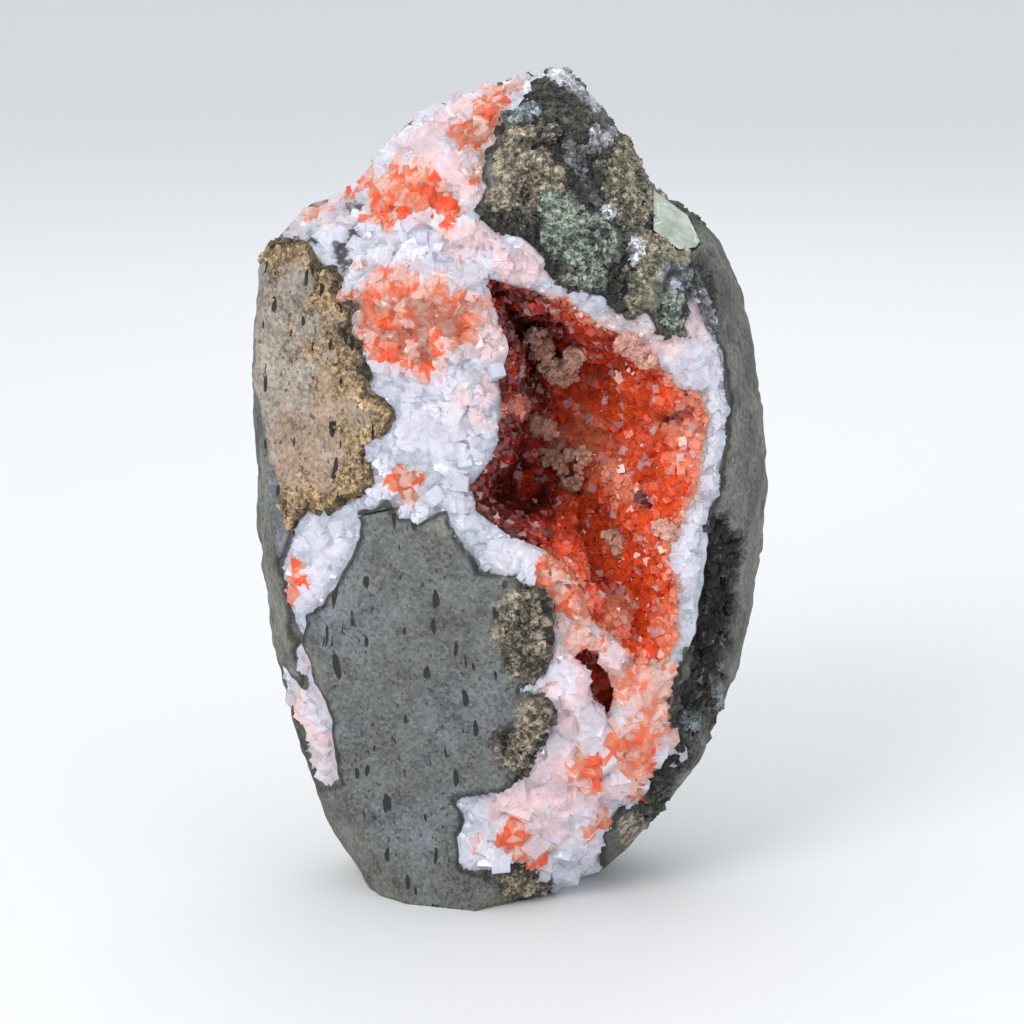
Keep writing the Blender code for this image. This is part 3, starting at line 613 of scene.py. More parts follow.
def new_group(name, inputs, outputs):
    """A shader node group with named sockets: its recipe, its inputs as values, and its output node."""
    tree = bpy.data.node_groups.new(name, "ShaderNodeTree")
    for direction, sockets in (("INPUT", inputs), ("OUTPUT", outputs)):
        for socket, kind in sockets.items():
            tree.interface.new_socket(socket, in_out=direction, socket_type="NodeSocket" + kind)
    recipe = Recipe(tree)
    start = tree.nodes.new("NodeGroupInput")
    given = {socket: Value(recipe, start.outputs[socket]) for socket in inputs}
    return recipe, given, tree.nodes.new("NodeGroupOutput")


print("a mid grey of 128 is", round(colour(128, 128, 128)[0], 3), "to the shader")

# %% [markdown]
# Two effects are shared. Grain is the salt-and-pepper of a rock seen close: light and dark specks over a
# slow change of tone. Gas bubbles are the small pits that a lava flow kept: round or drawn-out cells, of
# which only some are open.
# %% Grain and gas bubbles
SLOW_SHARE = 0.09  # the slow change of tone has this share of the grain's waves
SWIRL = 0.0016  # metres by which a bubble's edge strays
SWIRL_WAVES = 500.0
BUBBLE_SIZE = 0.38


def grain_group():
    """Place, Colour, Size in waves to a metre and Contrast give a Colour and a Height."""
    inputs = {"Place": "Vector", "Colour": "Color", "Size": "Float", "Contrast": "Float"}
    grain, given, end = new_group("mineral grain", inputs, {"Colour": "Color", "Height": "Float"})
    slow = grain.noise(given["Place"], given["Size"] * SLOW_SHARE, 2.0)
    fine = grain.noise(given["Place"], given["Size"], 3.0, 0.7)
    specks = grain.first_channel(grain.cells(given["Place"], given["Size"]).beside("Color"))
    tone = (fine - 0.5) + (slow - 0.5) + (specks - 0.5) * 0.5
    factor = tone * given["Contrast"] + 1.0
    spread = grain.node("CombineColor", {0: factor, 1: factor, 2: factor})
    inputs = {0: 1.0, 6: given["Colour"], 7: spread}
    product = grain.node("Mix", inputs, 2, data_type="RGBA", blend_type="MULTIPLY")
    grain.fill(end, {"Colour": product, "Height": tone})
    return grain.tree


def bubble_group():
    """Place, Size in cells to a metre, Drawn (how many times taller than wide) and Share of open
    cells give a Mask that is 1 in a bubble."""
    inputs = {"Place": "Vector", "Size": "Float", "Drawn": "Float", "Share": "Float"}
    bubbles, given, end = new_group("gas bubbles", inputs, {"Mask": "Float"})
    side = bubbles.node("SeparateXYZ", {0: given["Place"]})
    pressed = side.beside("Z") / given["Drawn"]
    joined = bubbles.node("CombineXYZ", {0: side, 1: side.beside("Y"), 2: pressed})
    swirl = bubbles.noise(joined, SWIRL_WAVES, 0.0, output="Color")
    nudge = bubbles.node("VectorMath", {0: swirl, 1: (SWIRL, SWIRL, SWIRL)}, operation="MULTIPLY")
    wavy = bubbles.node("VectorMath", {0: joined, 1: nudge}, operation="ADD")
    distance = bubbles.cells(wavy, given["Size"])
    lot = bubbles.first_channel(distance.beside("Color"))
    limits = {"Value": lot, "From Min": 1.0 - given["Share"], "To Min": 0.0, "To Max": BUBBLE_SIZE}
    room = bubbles.node("MapRange", limits) - distance
    bubbles.fill(end, {"Mask": bubbles.between(room, 0.0, 0.07)})
    return bubbles.tree


GRAIN = grain_group()
BUBBLES = bubble_group()
print("shared effects:", GRAIN.name, "and", BUBBLES.name)

# %% [markdown]
# The rock is basalt. Its ground faces are matte and full of pits, tan with a rusty stain on the left and
# grey-green below. Its margins are weathered to ochre, its broken faces are dark with brown and green, its
# skin at the side and back is smooth and dark, and thin white veins run through it.
# %% Basalt
TAN = colour(158, 146, 135)
TAN_DARK = colour(134, 125, 117)
OCHRE = colour(186, 158, 120)
OCHRE_DARK = colour(126, 106, 80)
RUST = colour(150, 126, 104)
PLATE = colour(97, 100, 97)
PLATE_BLUE = colour(105, 109, 113)
SHELL = colour(112, 112, 105)
SHELL_DARK = colour(84, 86, 80)
PIT_SHADE = colour(38, 36, 32)
SHADOW = colour(30, 28, 26)
PATCH_COLOURS = {
    "brown": (colour(176, 162, 142), colour(100, 93, 82)),
    "umber": (colour(160, 148, 130), colour(78, 71, 62)),
    "olive": (colour(174, 166, 144), colour(98, 94, 80)),
    "moss": (colour(158, 166, 154), colour(84, 92, 84)),
    "dark": (colour(92, 92, 82), colour(40, 38, 34)),
    "slate": (colour(148, 156, 162), colour(96, 102, 106)),
    "vein": (colour(226, 226, 232), colour(188, 190, 200)),
    "ochre": (OCHRE, OCHRE_DARK),
}


def basalt_material():
    """Colours laid over each other by masks, then grain, bubbles and bumps."""
    stone = Finish("basalt", Roughness=0.75)
    place = stone.place()
    shell = stone.mixed(stone.cloudy(place, 55.0, 0.42, 0.62, 4.0), SHELL, SHELL_DARK)
    plate = stone.mixed(stone.cloudy(place, 38.0, 0.45, 0.6), PLATE, PLATE_BLUE)
    tan = stone.mixed(stone.cloudy(place, 60.0, 0.4, 0.7), TAN, TAN_DARK)
    base = stone.mixed(stone.mask("lower_plate"), shell, plate)
    base = stone.mixed(stone.mask("left_plate"), base, tan)
    base = stone.mixed(stone.mask("rust"), base, RUST)
    crumbs = stone.cloudy(place, 480.0, 0.42, 0.58, 4.0, 0.75)
    for name, (light, dark) in PATCH_COLOURS.items():
        base = stone.mixed(stone.mask(name), base, stone.mixed(crumbs, light, dark))
    flecks = stone.cloudy(place, 330.0, 0.55, 0.68, 3.0, 0.7)
    # the sunk trough is painted in the shadow colour, flecked with shell grey: painted shade in the recess
    base = stone.mixed(stone.mask("trough"), base, stone.mixed(flecks, SHADOW, SHELL))
    # painted shadow: the rim mask lays a dark line where the rock meets the white layer and darkens the
    # grooves between broken blocks
    base = stone.mixed(stone.mask("rim"), base, SHADOW)
    crumbly = stone.larger(stone.mask("broken"), stone.mask("ochre") * 0.5)
    grain = stone.effect(GRAIN, Place=place, Colour=base, Size=1300.0, Contrast=crumbly + 1.3)
    drawn = stone.effect(BUBBLES, Place=place, Size=430.0, Drawn=3.4, Share=0.6)["Mask"]
    small = stone.effect(BUBBLES, Place=place, Size=800.0, Drawn=1.4, Share=0.75)["Mask"]
    ground = stone.larger(stone.mask("left_plate"), stone.mask("lower_plate"))
    open_share = ground * 0.55 + 0.45
    # open bubbles are painted in the dark PIT_SHADE colour: painted shade inside pits that the bump only
    # dents
    pits = stone.larger(drawn, small * 0.7) * open_share
    stone.paint(stone.mixed(pits, grain["Colour"], PIT_SHADE))
    relief = stone.noise(place, 420.0, 3.0, 0.7) * (crumbly * 1.5 + 0.15)
    stone.bump(relief - drawn * (open_share * 0.8), 0.0013)
    return stone.material


basalt = basalt_material()
print("basalt:", len(basalt.node_tree.nodes), "nodes,", len(PATCH_COLOURS), "kinds of patch")

# %% [markdown]
# The white layer is massive zeolite with cleaved blocks: bluish white where it is fresh, pink near the
# hollow, stained orange in patches. Light goes a little way into it, so it gets some subsurface
# scattering, and a thin clear coat makes its many small faces glint.
# %% White zeolite
WHITE = colour(197, 199, 211)
PINK = colour(212, 186, 189)
GREY_PINK = colour(176, 163, 171)
LILAC_GREY = colour(170, 166, 180)
STAIN_SOFT = colour(204, 166, 156)
STAIN_MID = colour(200, 114, 84)
STAIN = colour(212, 74, 30)
WHITE_MARKS = {
    "core": colour(128, 84, 68),
    "red": colour(150, 36, 16),
    "speck": colour(58, 48, 56),
}


def white_material():
    """White over pink, stains and specks by masks, each crystal a little lighter or darker."""
    block = Finish(
        "white_zeolite", Subsurface_Weight=0.6, Subsurface_Scale=0.006, Coat_Weight=0.5, Coat_Roughness=0.06
    )
    block.glow_within(1.0, 0.7, 0.6)
    place = block.place()
    facet = block.mask("facet")
    stain = block.mask("stain")
    rosy = block.mask("pink") * (block.cloudy(place, 90.0, 0.4, 0.62, 2.0) + 0.35)
    base = block.mixed(block.between(rosy, 0.1, 1.0), WHITE, PINK)
    base = block.mixed(block.between(facet, 0.5, 1.0) * 0.5, base, GREY_PINK)
    base = block.mixed(block.cloudy(place, 75.0, 0.45, 0.7, 2.0) * 0.45, base, LILAC_GREY)
    base = block.mixed(block.between(stain, 0.02, 0.45), base, STAIN_SOFT)
    cloud = block.noise(place, 230.0, 3.0, 0.65) - 0.5
    patchy = stain + (cloud * 2.0 + (facet - 0.5) * 0.9)
    halo = block.between(stain, 0.05, 0.3)
    base = block.mixed(block.between(patchy, 0.4, 0.9) * halo, base, STAIN_MID)
    base = block.mixed(block.between(patchy, 0.85, 1.35) * halo, base, STAIN)
    for name, tint in WHITE_MARKS.items():
        base = block.mixed(block.mask(name), base, tint)
    grain = block.effect(GRAIN, Place=place, Colour=base, Size=900.0, Contrast=0.25)
    block.paint(grain["Colour"])
    block.fill(block.shader, {"Roughness": block.between(facet, -0.45, 2.2)})
    block.bump(cloud, 0.0004, 0.6)
    return block.material


white_zeolite = white_material()
print("white zeolite:", len(white_zeolite.node_tree.nodes), "nodes")

# %% [markdown]
# The hollow's lining is chabazite, orange-red from iron. Its colour also carries painted light and shade:
# orange where painted pools of light fall, a shaded dark red in the depths and on the left. A few crystals
# stayed colourless. Glossy faces and scattering inside the stone give the rest of the glow.
# %% Chabazite
ORANGE = colour(224, 83, 33)
RED = colour(186, 46, 18)
# painted shade: the red of the lining where it lies in shadow
SHADED_RED = colour(90, 15, 7)
PEACH = colour(232, 160, 132)
LILAC = colour(204, 166, 168)


def chabazite_material():
    """Shaded dark red, red and orange by a mask of tone and painted light, peach at the rim, lilac for the
    clear crystals.
    """
    lining = Finish(
        "chabazite", Roughness=0.22, Subsurface_Weight=0.4, Subsurface_Scale=0.003, Coat_Weight=0.4
    )
    lining.glow_within(1.0, 0.25, 0.1)
    place = lining.place()
    # the mask holds the crust's own tone and painted light and shade: low is painted shade in dark red, high
    # is lit orange
    tone_and_painted_light = lining.mask("tone_and_painted_light") + (lining.noise(place, 110.0, 4.0) - 0.5) * 1.2
    base = lining.mixed(lining.between(tone_and_painted_light, 0.0, 0.45), SHADED_RED, RED)
    base = lining.mixed(lining.between(tone_and_painted_light, 0.35, 1.0), base, ORANGE)
    base = lining.mixed(lining.mask("peach"), base, PEACH)
    base = lining.mixed(lining.mask("clear"), base, LILAC)
    grain = lining.effect(GRAIN, Place=place, Colour=base, Size=1100.0, Contrast=0.5)
    lining.paint(grain["Colour"])
    lining.bump(lining.noise(place, 900.0, 1.0), 0.0003, 0.5)
    return lining.material


chabazite = chabazite_material()
print("chabazite:", len(chabazite.node_tree.nodes), "nodes")

# %% [markdown]
# The pale green crystal is one cleaved glassy piece, so its solid from the model stays, with a cloudy
# green material. The curls and flakes of tan crust in the hollow get a dry, granular one.
# %% Green crystal and tan crust
GLASS_GREEN = colour(150, 164, 146)
GLASS_CLOUD = colour(192, 200, 186)
CRACK_PALE = colour(226, 230, 224)
TAN_CRUST = colour(240, 186, 158)
PALE_CRUST = colour(250, 214, 194)
PINK_CRUST = colour(222, 164, 150)


def green_material():
    """Cloudy pale green with a smooth face and fine pale cracks."""
    glass = Finish("green_crystal", Roughness=0.18, Coat_Weight=0.4)
    place = glass.place()
    base = glass.mixed(glass.cloudy(place, 140.0, 0.35, 0.7, 4.0), GLASS_GREEN, GLASS_CLOUD)
    crack = 1.0 - glass.between(glass.cells(place, 120.0, feature="DISTANCE_TO_EDGE"), 0.0, 0.05)
    base = glass.mixed(crack * 0.5, base, CRACK_PALE)
    grain = glass.effect(GRAIN, Place=place, Colour=base, Size=700.0, Contrast=0.5)
    glass.paint(grain["Colour"])
    glass.bump(grain["Height"] + crack, 0.0003, 0.4)
    return glass.material


def tan_crust_material():
    """Dry granular crust, pinker where the mask says."""
    crumb = Finish("tan_crust", Roughness=0.6)
    place = crumb.place()
    base = crumb.mixed(crumb.cloudy(place, 400.0, 0.4, 0.65, 4.0), TAN_CRUST, PALE_CRUST)
    base = crumb.mixed(crumb.mask("pink"), base, PINK_CRUST)
    grain = crumb.effect(GRAIN, Place=place, Colour=base, Size=1600.0, Contrast=0.9)
    crumb.paint(grain["Colour"])
    crumb.bump(grain["Height"], 0.0006)
    return crumb.material


green_crystal = green_material()
tan_crust = tan_crust_material()
print("and:", green_crystal.name, "and", tan_crust.name)

# %% [markdown]
# The edge between rock and white layer is not a clean line: it wanders by a millimetre or so. The rock's
# surface dives under the white one inside that edge, and the white one under the rock outside it, so the
# two meet in a natural contact.
# %% Where the rock ends
BACK_MARGIN = 5.0  # the white layer ends this far behind the outline's plane
OVERLAP = 3.0  # each surface runs on this far under the other
RAY = np.linspace(8.0, 125.0, 400)  # distances from CENTRE at which the window's edge is looked for


def window_edge(across, up, depth):
    """How far a place is inside the window, in millimetres, with a wandering edge."""
    wander = 0.9 * lumps(across, up, 0.0, 4.5, 31) + 0.5 * lumps(across, up, 0.0, 2.0, 32)
    inside = inside_by(WINDOW, across, up) + wander
    broad = 4.0 * lumps(across, up, 0.0, 11.0, 34)
    return np.minimum(inside, BACK_MARGIN - depth + broad + 2.0 * wander)


def window_on_rays(angle):
    """How far the places of RAY are inside the window, in each direction."""
    return inside_by(WINDOW, *around(angle, RAY[:, None]))


open_places = (window_on_rays(np.array([math.pi / 2])) > 0.0).sum()
print("straight up, the window is open at", open_places, "of", len(RAY), "places of RAY")

# %% [markdown]
# The rock is one surface from just inside the window's edge, over the outline, to the middle of the back,
# with extra rings that close it inside. Broken parts are raised in pyramids and lumps; ground plates stay
# flat. Below the ground its points are pressed up to the sawn base.
# %% The basalt rock
ROCK_COLUMNS = 720
ROCK_FRONT_RINGS = 108
ROCK_BACK_RINGS = 27
LATEST_START = 0.46  # the ring where the rock starts is never further out
LAST_RING = 0.992
SINK = 8.0
BLOCK_SIZE = 6.5
CHIP_SIZE = 2.6
GROOVE = 1.3
EDGE_GROOVE = 0.5
TROUGH_DEPTH = 4.0
GREEN_BED = 2.2
INNER_PLANE = 0.018  # metres behind the middle of the base
INNER_DEPTH = 30.0
PATCHES = {
    "brown": [
        ((4.0, 73.5), (9.5, 11.5)), ((-2.5, 68.0), (4.5, 4.5)), ((34.0, 55.0), (5.0, 5.5)),
        ((2.5, 84.8), (7.5, 2.6)),
    ],
    "umber": [
        ((5.0, -35.0), (8.5, 12.0)), ((3.5, -60.0), (9.5, 11.0)), ((2.0, -93.0), (10.0, 6.5)),
        ((28.0, -80.0), (5.0, 6.0)),
    ],
    "olive": [((26.5, 72.5), (9.5, 10.5)), ((31.0, 46.0), (4.5, 7.5)), ((38.0, 56.0), (5.0, 5.0))],
    "moss": [((18.0, 58.5), (10.0, 13.5)), ((38.0, 41.5), (4.8, 7.0)), ((12.0, 66.0), (4.0, 6.0))],
    "dark": [
        ((9.5, 93.5), (5.0, 6.5)), ((0.5, 63.5), (8.0, 3.2)), ((12.0, 51.5), (8.5, 3.0)),
        ((16.5, 88.0), (3.6, 4.6)), ((24.0, 44.5), (6.5, 3.0)), ((47.5, -36.0), (5.0, 19.0)),
        ((40.5, -60.0), (4.5, 8.0)), ((33.0, -72.0), (4.5, 8.0)),
    ],
    "slate": [
        ((2.5, 89.0), (4.8, 3.2)), ((39.0, 49.5), (4.2, 3.2)), ((44.0, 47.5), (2.2, 9.5)),
        ((52.0, -17.0), (1.4, 5.0)), ((43.0, -55.0), (2.6, 3.0)), ((49.5, -45.0), (1.2, 6.0)),
    ],
}
RUSTS = [((-48.0, 4.0), (12.0, 11.0)), ((-41.0, 22.0), (6.0, 16.0))]
PATCH_LEVELS = {"brown": 0.5, "umber": 0.5, "olive": 0.9, "moss": -0.3, "dark": -0.5, "slate": 0.1}
VEINS = [
    [(11, 85), (15, 82), (18, 82), (18.5, 85), (23.5, 86), (25, 83.5), (21.5, 80), (18.5, 78),
     (17.3, 73.6), (20.2, 69.6), (23.4, 67), (26.6, 62), (26, 61), (22.6, 65.6), (19, 68.5),
     (15.8, 73), (12.5, 80)],
    [(8.5, 100), (12, 100.5), (16.5, 96), (22, 90), (20.5, 88), (15.5, 93), (12, 94.5), (10, 97.5)],
    [(27, 60), (31.2, 59), (32, 53.5), (29.5, 51), (27.6, 55.5)],
    [(43, 48), (46.5, 47), (48.5, 38), (51, 28), (49.2, 28), (46, 37.5), (43.8, 42)],
]
BROKEN_SPOTS = [
    ((18.0, 66.0), (27.0, 33.0)), ((5.0, -35.0), (8.0, 11.0)), ((3.5, -60.0), (9.0, 10.0)),
    ((2.0, -93.0), (10.0, 6.0)), ((38.0, 41.0), (6.0, 7.0)), ((45.5, 45.0), (4.5, 11.0)),
    ((47.0, -34.0), (5.5, 21.0)), ((40.0, -60.0), (5.0, 9.0)), ((32.5, -73.0), (5.0, 9.0)),
]


def facet_share(name, across, up):
    """1 where one flat face is the deepest cut of the front, 0 elsewhere."""
    others = -FRONT_BULGE * front_rise(across, up) ** FULLNESS
    for other, facet in FACETS.items():
        if other != name:
            others = np.maximum(others, plane(facet, across, up))
    return step_up(plane(FACETS[name], across, up) - others, -0.3, 0.5)


def rock_surface():
    """The rings of the rock and its masks."""
    angle = even_angles(OUTLINE, ROCK_COLUMNS)
    clear = window_on_rays(angle) > OVERLAP
    first = np.where(clear.all(axis=0), len(RAY) - 1, np.argmin(clear, axis=0))
    start = np.minimum(ring_at(angle, RAY[first]), LATEST_START)
    front = np.linspace(0.0, 1.0, ROCK_FRONT_RINGS)[:, None]
    back = np.linspace(0.0, 1.0, ROCK_BACK_RINGS + 1)[1:, None]
    ring = np.concatenate([start + (0.5 - start) * front, 0.5 + (LAST_RING - 0.5) * back + 0.0 * start])
    turn = np.broadcast_to(angle, ring.shape)
    place = skin(turn, ring)
    across, up, depth = place
    edge = window_edge(across, up, np.where(ring <= 0.5, np.minimum(depth, 0.0), depth))
    on_front = 1.0 - step_up(ring + 0.02 * rough(across, up, depth, 8.0, 35), 0.505, 0.55)
    broken = all_spots(across, up, BROKEN_SPOTS, 51) * on_front
    broken = np.where(facet_share("upper right plate", across, up) * on_front > 0.5, 1.0, broken)
    trough = step_up(inside_by(TROUGH, across, up) + 1.6 * lumps(across, up, 0.0, 3.0, 33), -3.0, -0.8)
    trough = trough * on_front
    bed = step_up(inside_by(GREEN, across, up), -0.9, -0.1) * on_front
    blocks, _ = pyramids(across, up, BLOCK_SIZE, 0.8, 61)
    chips, _ = pyramids(across, up, CHIP_SIZE, 0.9, 67)
    height = broken * (0.7 * (blocks - 1.5) + 0.7 * (chips - 0.6) + 0.9 * rough(across, up, depth, 3.0, 71))
    ground = np.maximum(facet_share("left plate", across, up), facet_share("lower plate", across, up))
    ground = ground * on_front * (1.0 - broken)
    natural = (1.0 - ground) * (1.0 - broken)
    weathered = 0.8 * rough(across, up, depth, 9.0, 75) + 0.25 * lumps(across, up, depth, 2.8, 78)
    height = height + natural * weathered
    masks = {name: all_spots(across, up, places, 51, 0.45) * on_front for name, places in PATCHES.items()}
    height = height + sum(PATCH_LEVELS[name] * mask for name, mask in masks.items())
    cover = np.max(list(masks.values()), axis=0)
    groove = broken * (1.0 - step_up(cover, 0.35, 0.8))
    height = height - GROOVE * groove
    height = height - TROUGH_DEPTH * trough + 1.2 * trough * rough(across, up, depth, 3.5, 79)
    height = height - GREEN_BED * bed
    height = height - EDGE_GROOVE * np.exp(-np.clip(-edge, 0.0, 9.0) / 0.7)
    height = height - SINK * step_up(edge, 0.0, 1.6)
    across, up, depth = lifted(turn, ring, place, height)
    grid = seen(across, up, depth)
    grid[..., 2] = np.maximum(grid[..., 2], 0.0)
    margin = np.exp(-np.clip(-edge - 0.5, 0.0, 60.0) / 5.5)
    crumbled = step_up(margin + 0.3 * rough(across, up, 0.0, 4.0, 83), 0.25, 0.6)
    above_band = up + 1.0 - 0.45 * (across + 33.0)
    beside_shell = across + 60.6 - 0.23 * np.clip(25.4 - up, 0.0, 60.0)
    upper_left = on_front * step_up(-across, 22.0, 27.0) * step_up(above_band, -1.0, 1.0)
    upper_left = upper_left * step_up(beside_shell + 0.6 * lumps(across, up, 0.0, 4.0, 85), -0.5, 0.5)
    vein = np.max([inside_by(vein, across, up) for vein in VEINS], axis=0)
    vein = step_up(vein + 0.8 * lumps(across, up, 0.0, 2.5, 87), -0.2, 0.5) * on_front
    ochre_reach = upper_left * (1.0 - step_up(up, 58.0, 63.0))
    masks.update(
        left_plate=upper_left,
        rust=0.8 * upper_left * all_spots(across, up, RUSTS, 53, 0.5),
        lower_plate=ground * (1.0 - upper_left),
        broken=broken,
        ochre=crumbled * ochre_reach,
        trough=trough,
        vein=vein,
        # rim: a painted shadow along the window's edge and in the grooves
        rim=np.maximum(np.exp(-((np.clip(edge + 0.4, -9.0, 9.0) / 0.6) ** 2)) * 0.9, 0.75 * groove),
    )
    return grid, masks, edge, bed


def make_rock():
    """Closes the rock inside and makes its mesh."""
    grid, masks, edge, bed = rock_surface()
    inner = grid[:1].copy()
    inner[..., 1] = INNER_PLANE
    rings = np.concatenate([inner, grid])
    start = seen(*CENTRE, INNER_DEPTH)
    end = seen(*CENTRE, BACK_BULGE)
    points, faces = closed_rings(rings, start, end)
    piece = make_piece("basalt_rock", points, faces, basalt, with_poles(masks, 1, 0), smooth=True)
    return piece, grid, masks, edge, bed


rock, rock_grid, rock_masks, rock_edge, rock_bed = make_rock()

# %% [markdown]
# Where basalt is broken it is granular, and small angular chips cling to it. Each grain is a rhomb sunk a
# little deeper than half into the rock and leaning its own way, so no two look alike.
# %% Grains on the broken rock
ROCK_GRAINS = 9500


def make_rock_grains():
    """Angular grains that roughen the broken rock, the trough and the ochre margin."""
    rng = np.random.default_rng(29)
    density = rock_masks["broken"] + 0.7 * rock_masks["trough"] + 0.4 * rock_masks["ochre"]
    density = density * (1.0 - step_up(rock_edge, -0.6, 0.6)) * (1.0 - rock_bed)
    density = density * step_up(rock_grid[..., 2], 2.0 * MM, 4.0 * MM)
    place, out, row, column = scatter(rock_grid, np.maximum(density, 0.0), ROCK_GRAINS, rng)
    size = (0.5 + 1.7 * rng.random(ROCK_GRAINS) ** 2.5) * MM
    points, faces = rhombs(place - out * 0.15 * size[:, None], out, size, 0.9, rng)
    return make_piece("rock_grains", points, [faces], basalt, taken(rock_masks, row, column))


rock_grains = make_rock_grains()

# %% [markdown]
# The white layer starts at the mouth of the hollow and runs out under the rock's edge. Its surface is
# packed with pyramid faces of two sizes. The small pocket below the mouth is pressed into it.
# %% The white layer
WHITE_RECESS = 1.3
LIP_WIDTH = 0.02  # half the angle over which the mouth is averaged
LIP_ROLL = 1.3
POCKET_DEPTH = 9.0
WHITE_DIVE = 7.0
ROUND_THE_SIDE = 0.524  # the ring where the layer ends if it reaches the outline
LARGE_FACET = 5.2
SMALL_FACET = 2.3
WHITE_COLUMNS = 640
WHITE_RINGS = 146
STAINS = [
    ((-21.5, 71.5), (10.5, 8.5), 1.0), ((-6.5, 86.0), (5.5, 7.5), 0.75), ((-37.4, 69.6), (3.0, 1.8), 1.0),
    ((-33.1, 64.4), (2.6, 2.0), 0.55), ((-22.0, 41.0), (14.5, 11.0), 0.85), ((-23.7, 1.9), (3.6, 3.8), 0.85),
    ((1.2, -83.1), (6.0, 5.5), 0.85), ((18.2, -66.3), (4.5, 5.0), 0.8), ((28.4, -62.7), (8.5, 10.5), 0.8),
    ((21.3, -76.2), (2.2, 2.5), 0.8), ((18.9, -81.0), (2.0, 2.0), 0.8), ((-51.1, -22.2), (2.0, 4.6), 0.9),
    ((13.0, -24.0), (6.0, 10.0), 0.8), ((18.0, -36.0), (7.0, 6.0), 0.65), ((-46.5, 66.5), (5.0, 2.6), 0.5),
    ((34.0, -52.0), (6.0, 9.0), 0.5), ((-2.0, 94.0), (6.0, 2.5), 0.4), ((30.0, -44.0), (6.0, 6.0), 0.45),
]
CORES = [((-17.5, 40.0), (6.0, 5.0)), ((-22.5, 38.0), (4.0, 3.0))]
PINKS = [
    ((-12.0, 78.0), (20.0, 18.0)), ((10.0, 55.0), (26.0, 12.0)), ((-10.0, 42.0), (10.0, 22.0)),
    ((18.0, -45.0), (14.0, 34.0)), ((36.0, 38.0), (12.0, 10.0)), ((8.0, -75.0), (14.0, 12.0)),
    ((-45.0, -45.0), (8.0, 26.0)), ((-45.0, 66.0), (8.0, 5.0)),
]
SPECKS = [
    ((-46.4, 59.2), (1.7, 1.8)), ((-39.8, 57.0), (1.6, 3.4)), ((-37.4, 60.2), (1.5, 3.0)),
    ((-36.2, 66.7), (2.8, 1.4)), ((-38.3, 53.5), (1.9, 1.5)),
]


def white_ring_range(angle):
    """The rings where the white layer starts and ends in each direction."""
    inside = window_on_rays(angle) > -OVERLAP
    last = RAY[len(RAY) - 1 - np.argmax(inside[::-1], axis=0)]
    spread = np.max([np.roll(last, shift) for shift in range(-6, 7)], axis=0)
    spread = np.mean([np.roll(spread, shift) for shift in range(-6, 7)], axis=0)
    outline = soft_reach(OUTLINE, angle, CORNER_SOFTENING)
    end = np.where(spread > outline, ROUND_THE_SIDE, ring_at(angle, spread))
    return ring_at(angle, soft_reach(MOUTH, angle, LIP_WIDTH)), end


def white_surface():
    """The rings of the white layer's skin and its masks."""
    angle = even_angles(OUTLINE, WHITE_COLUMNS)
    start, end = white_ring_range(angle)
    share = np.linspace(0.0, 1.0, WHITE_RINGS)[:, None] ** 1.15
    ring = start + (end - start) * share
    turn = np.broadcast_to(angle, ring.shape)
    across, up, depth = skin(turn, ring)
    smooth_front = front_depth(across, up, patches=False)
    depth = np.where(ring <= 0.5, smooth_front, depth)
    edge = window_edge(across, up, np.where(ring <= 0.5, np.minimum(depth, 0.0), depth))
    from_lip = -inside_by(MOUTH, across, up)
    large, facet = pyramids(across, up, LARGE_FACET, 0.75, 91)
    small, fine_facet = pyramids(across, up, SMALL_FACET, 0.8, 97)
    relief = 0.62 * (large - 1.2) + 0.55 * (small - 0.5) + 0.8 * rough(across, up, depth, 12.0, 103)
    pocket = step_up(inside_by(SMALL_POCKET, across, up) + 0.6 * lumps(across, up, 0.0, 2.5, 107), -0.9, 1.0)
    height = -WHITE_RECESS + relief - LIP_ROLL * np.exp(-np.clip(from_lip, 0.0, 30.0) / 1.2)
    height = height - POCKET_DEPTH * pocket - WHITE_DIVE * step_up(-edge, 0.4, 2.2)
    across, up, depth = lifted(turn, ring, (across, up, depth), height)
    grid = seen(across, up, depth)
    grid[..., 2] = np.maximum(grid[..., 2], 0.0)
    lip_stain = 0.5 * np.exp(-np.clip(from_lip, 0.0, 30.0) / 1.4) * step_up(across, -4.0, 14.0)
    masks = {
        "stain": np.maximum(all_spots(across, up, STAINS, 111, 0.6), lip_stain),
        "pink": all_spots(across, up, PINKS, 115, 0.5),
        "speck": all_spots(across, up, SPECKS, 119, 0.6),
        "core": 0.6 * all_spots(across, up, CORES, 113, 0.9),
        "red": step_up(pocket, 0.1, 0.5),
        "facet": 0.6 * facet + 0.4 * fine_facet,
    }
    return angle, grid, masks


def make_white():
    """Closes the white layer behind and makes its mesh."""
    angle, grid, masks = white_surface()
    lip = soft_reach(MOUTH, angle, LIP_WIDTH) + 0.8
    inner = seen(*around(angle, lip), 13.0)
    outer = 0.85 * np.sin(math.pi * white_ring_range(angle)[1]) * reach(OUTLINE, angle)
    behind = seen(*around(angle, outer), 12.0)
    behind[..., 2] = np.maximum(behind[..., 2], 0.004)
    rings = np.concatenate([inner[None], grid, behind[None]])
    points, faces = closed_rings(rings, seen(*CENTRE, 22.0), seen(*CENTRE, 26.0))
    piece = make_piece("white_zeolite", points, faces, white_zeolite, with_poles(masks, 1, 1))
    return piece, grid, masks


white, white_grid, white_masks = make_white()

# %% [markdown]
# Blocky crystals stand on the white layer, thickest near the hollow. They are placed by area and by a
# patchy density, and they take over the masks of the place where they grow.
# %% Crystals on the white layer
WHITE_CRYSTALS = 9000


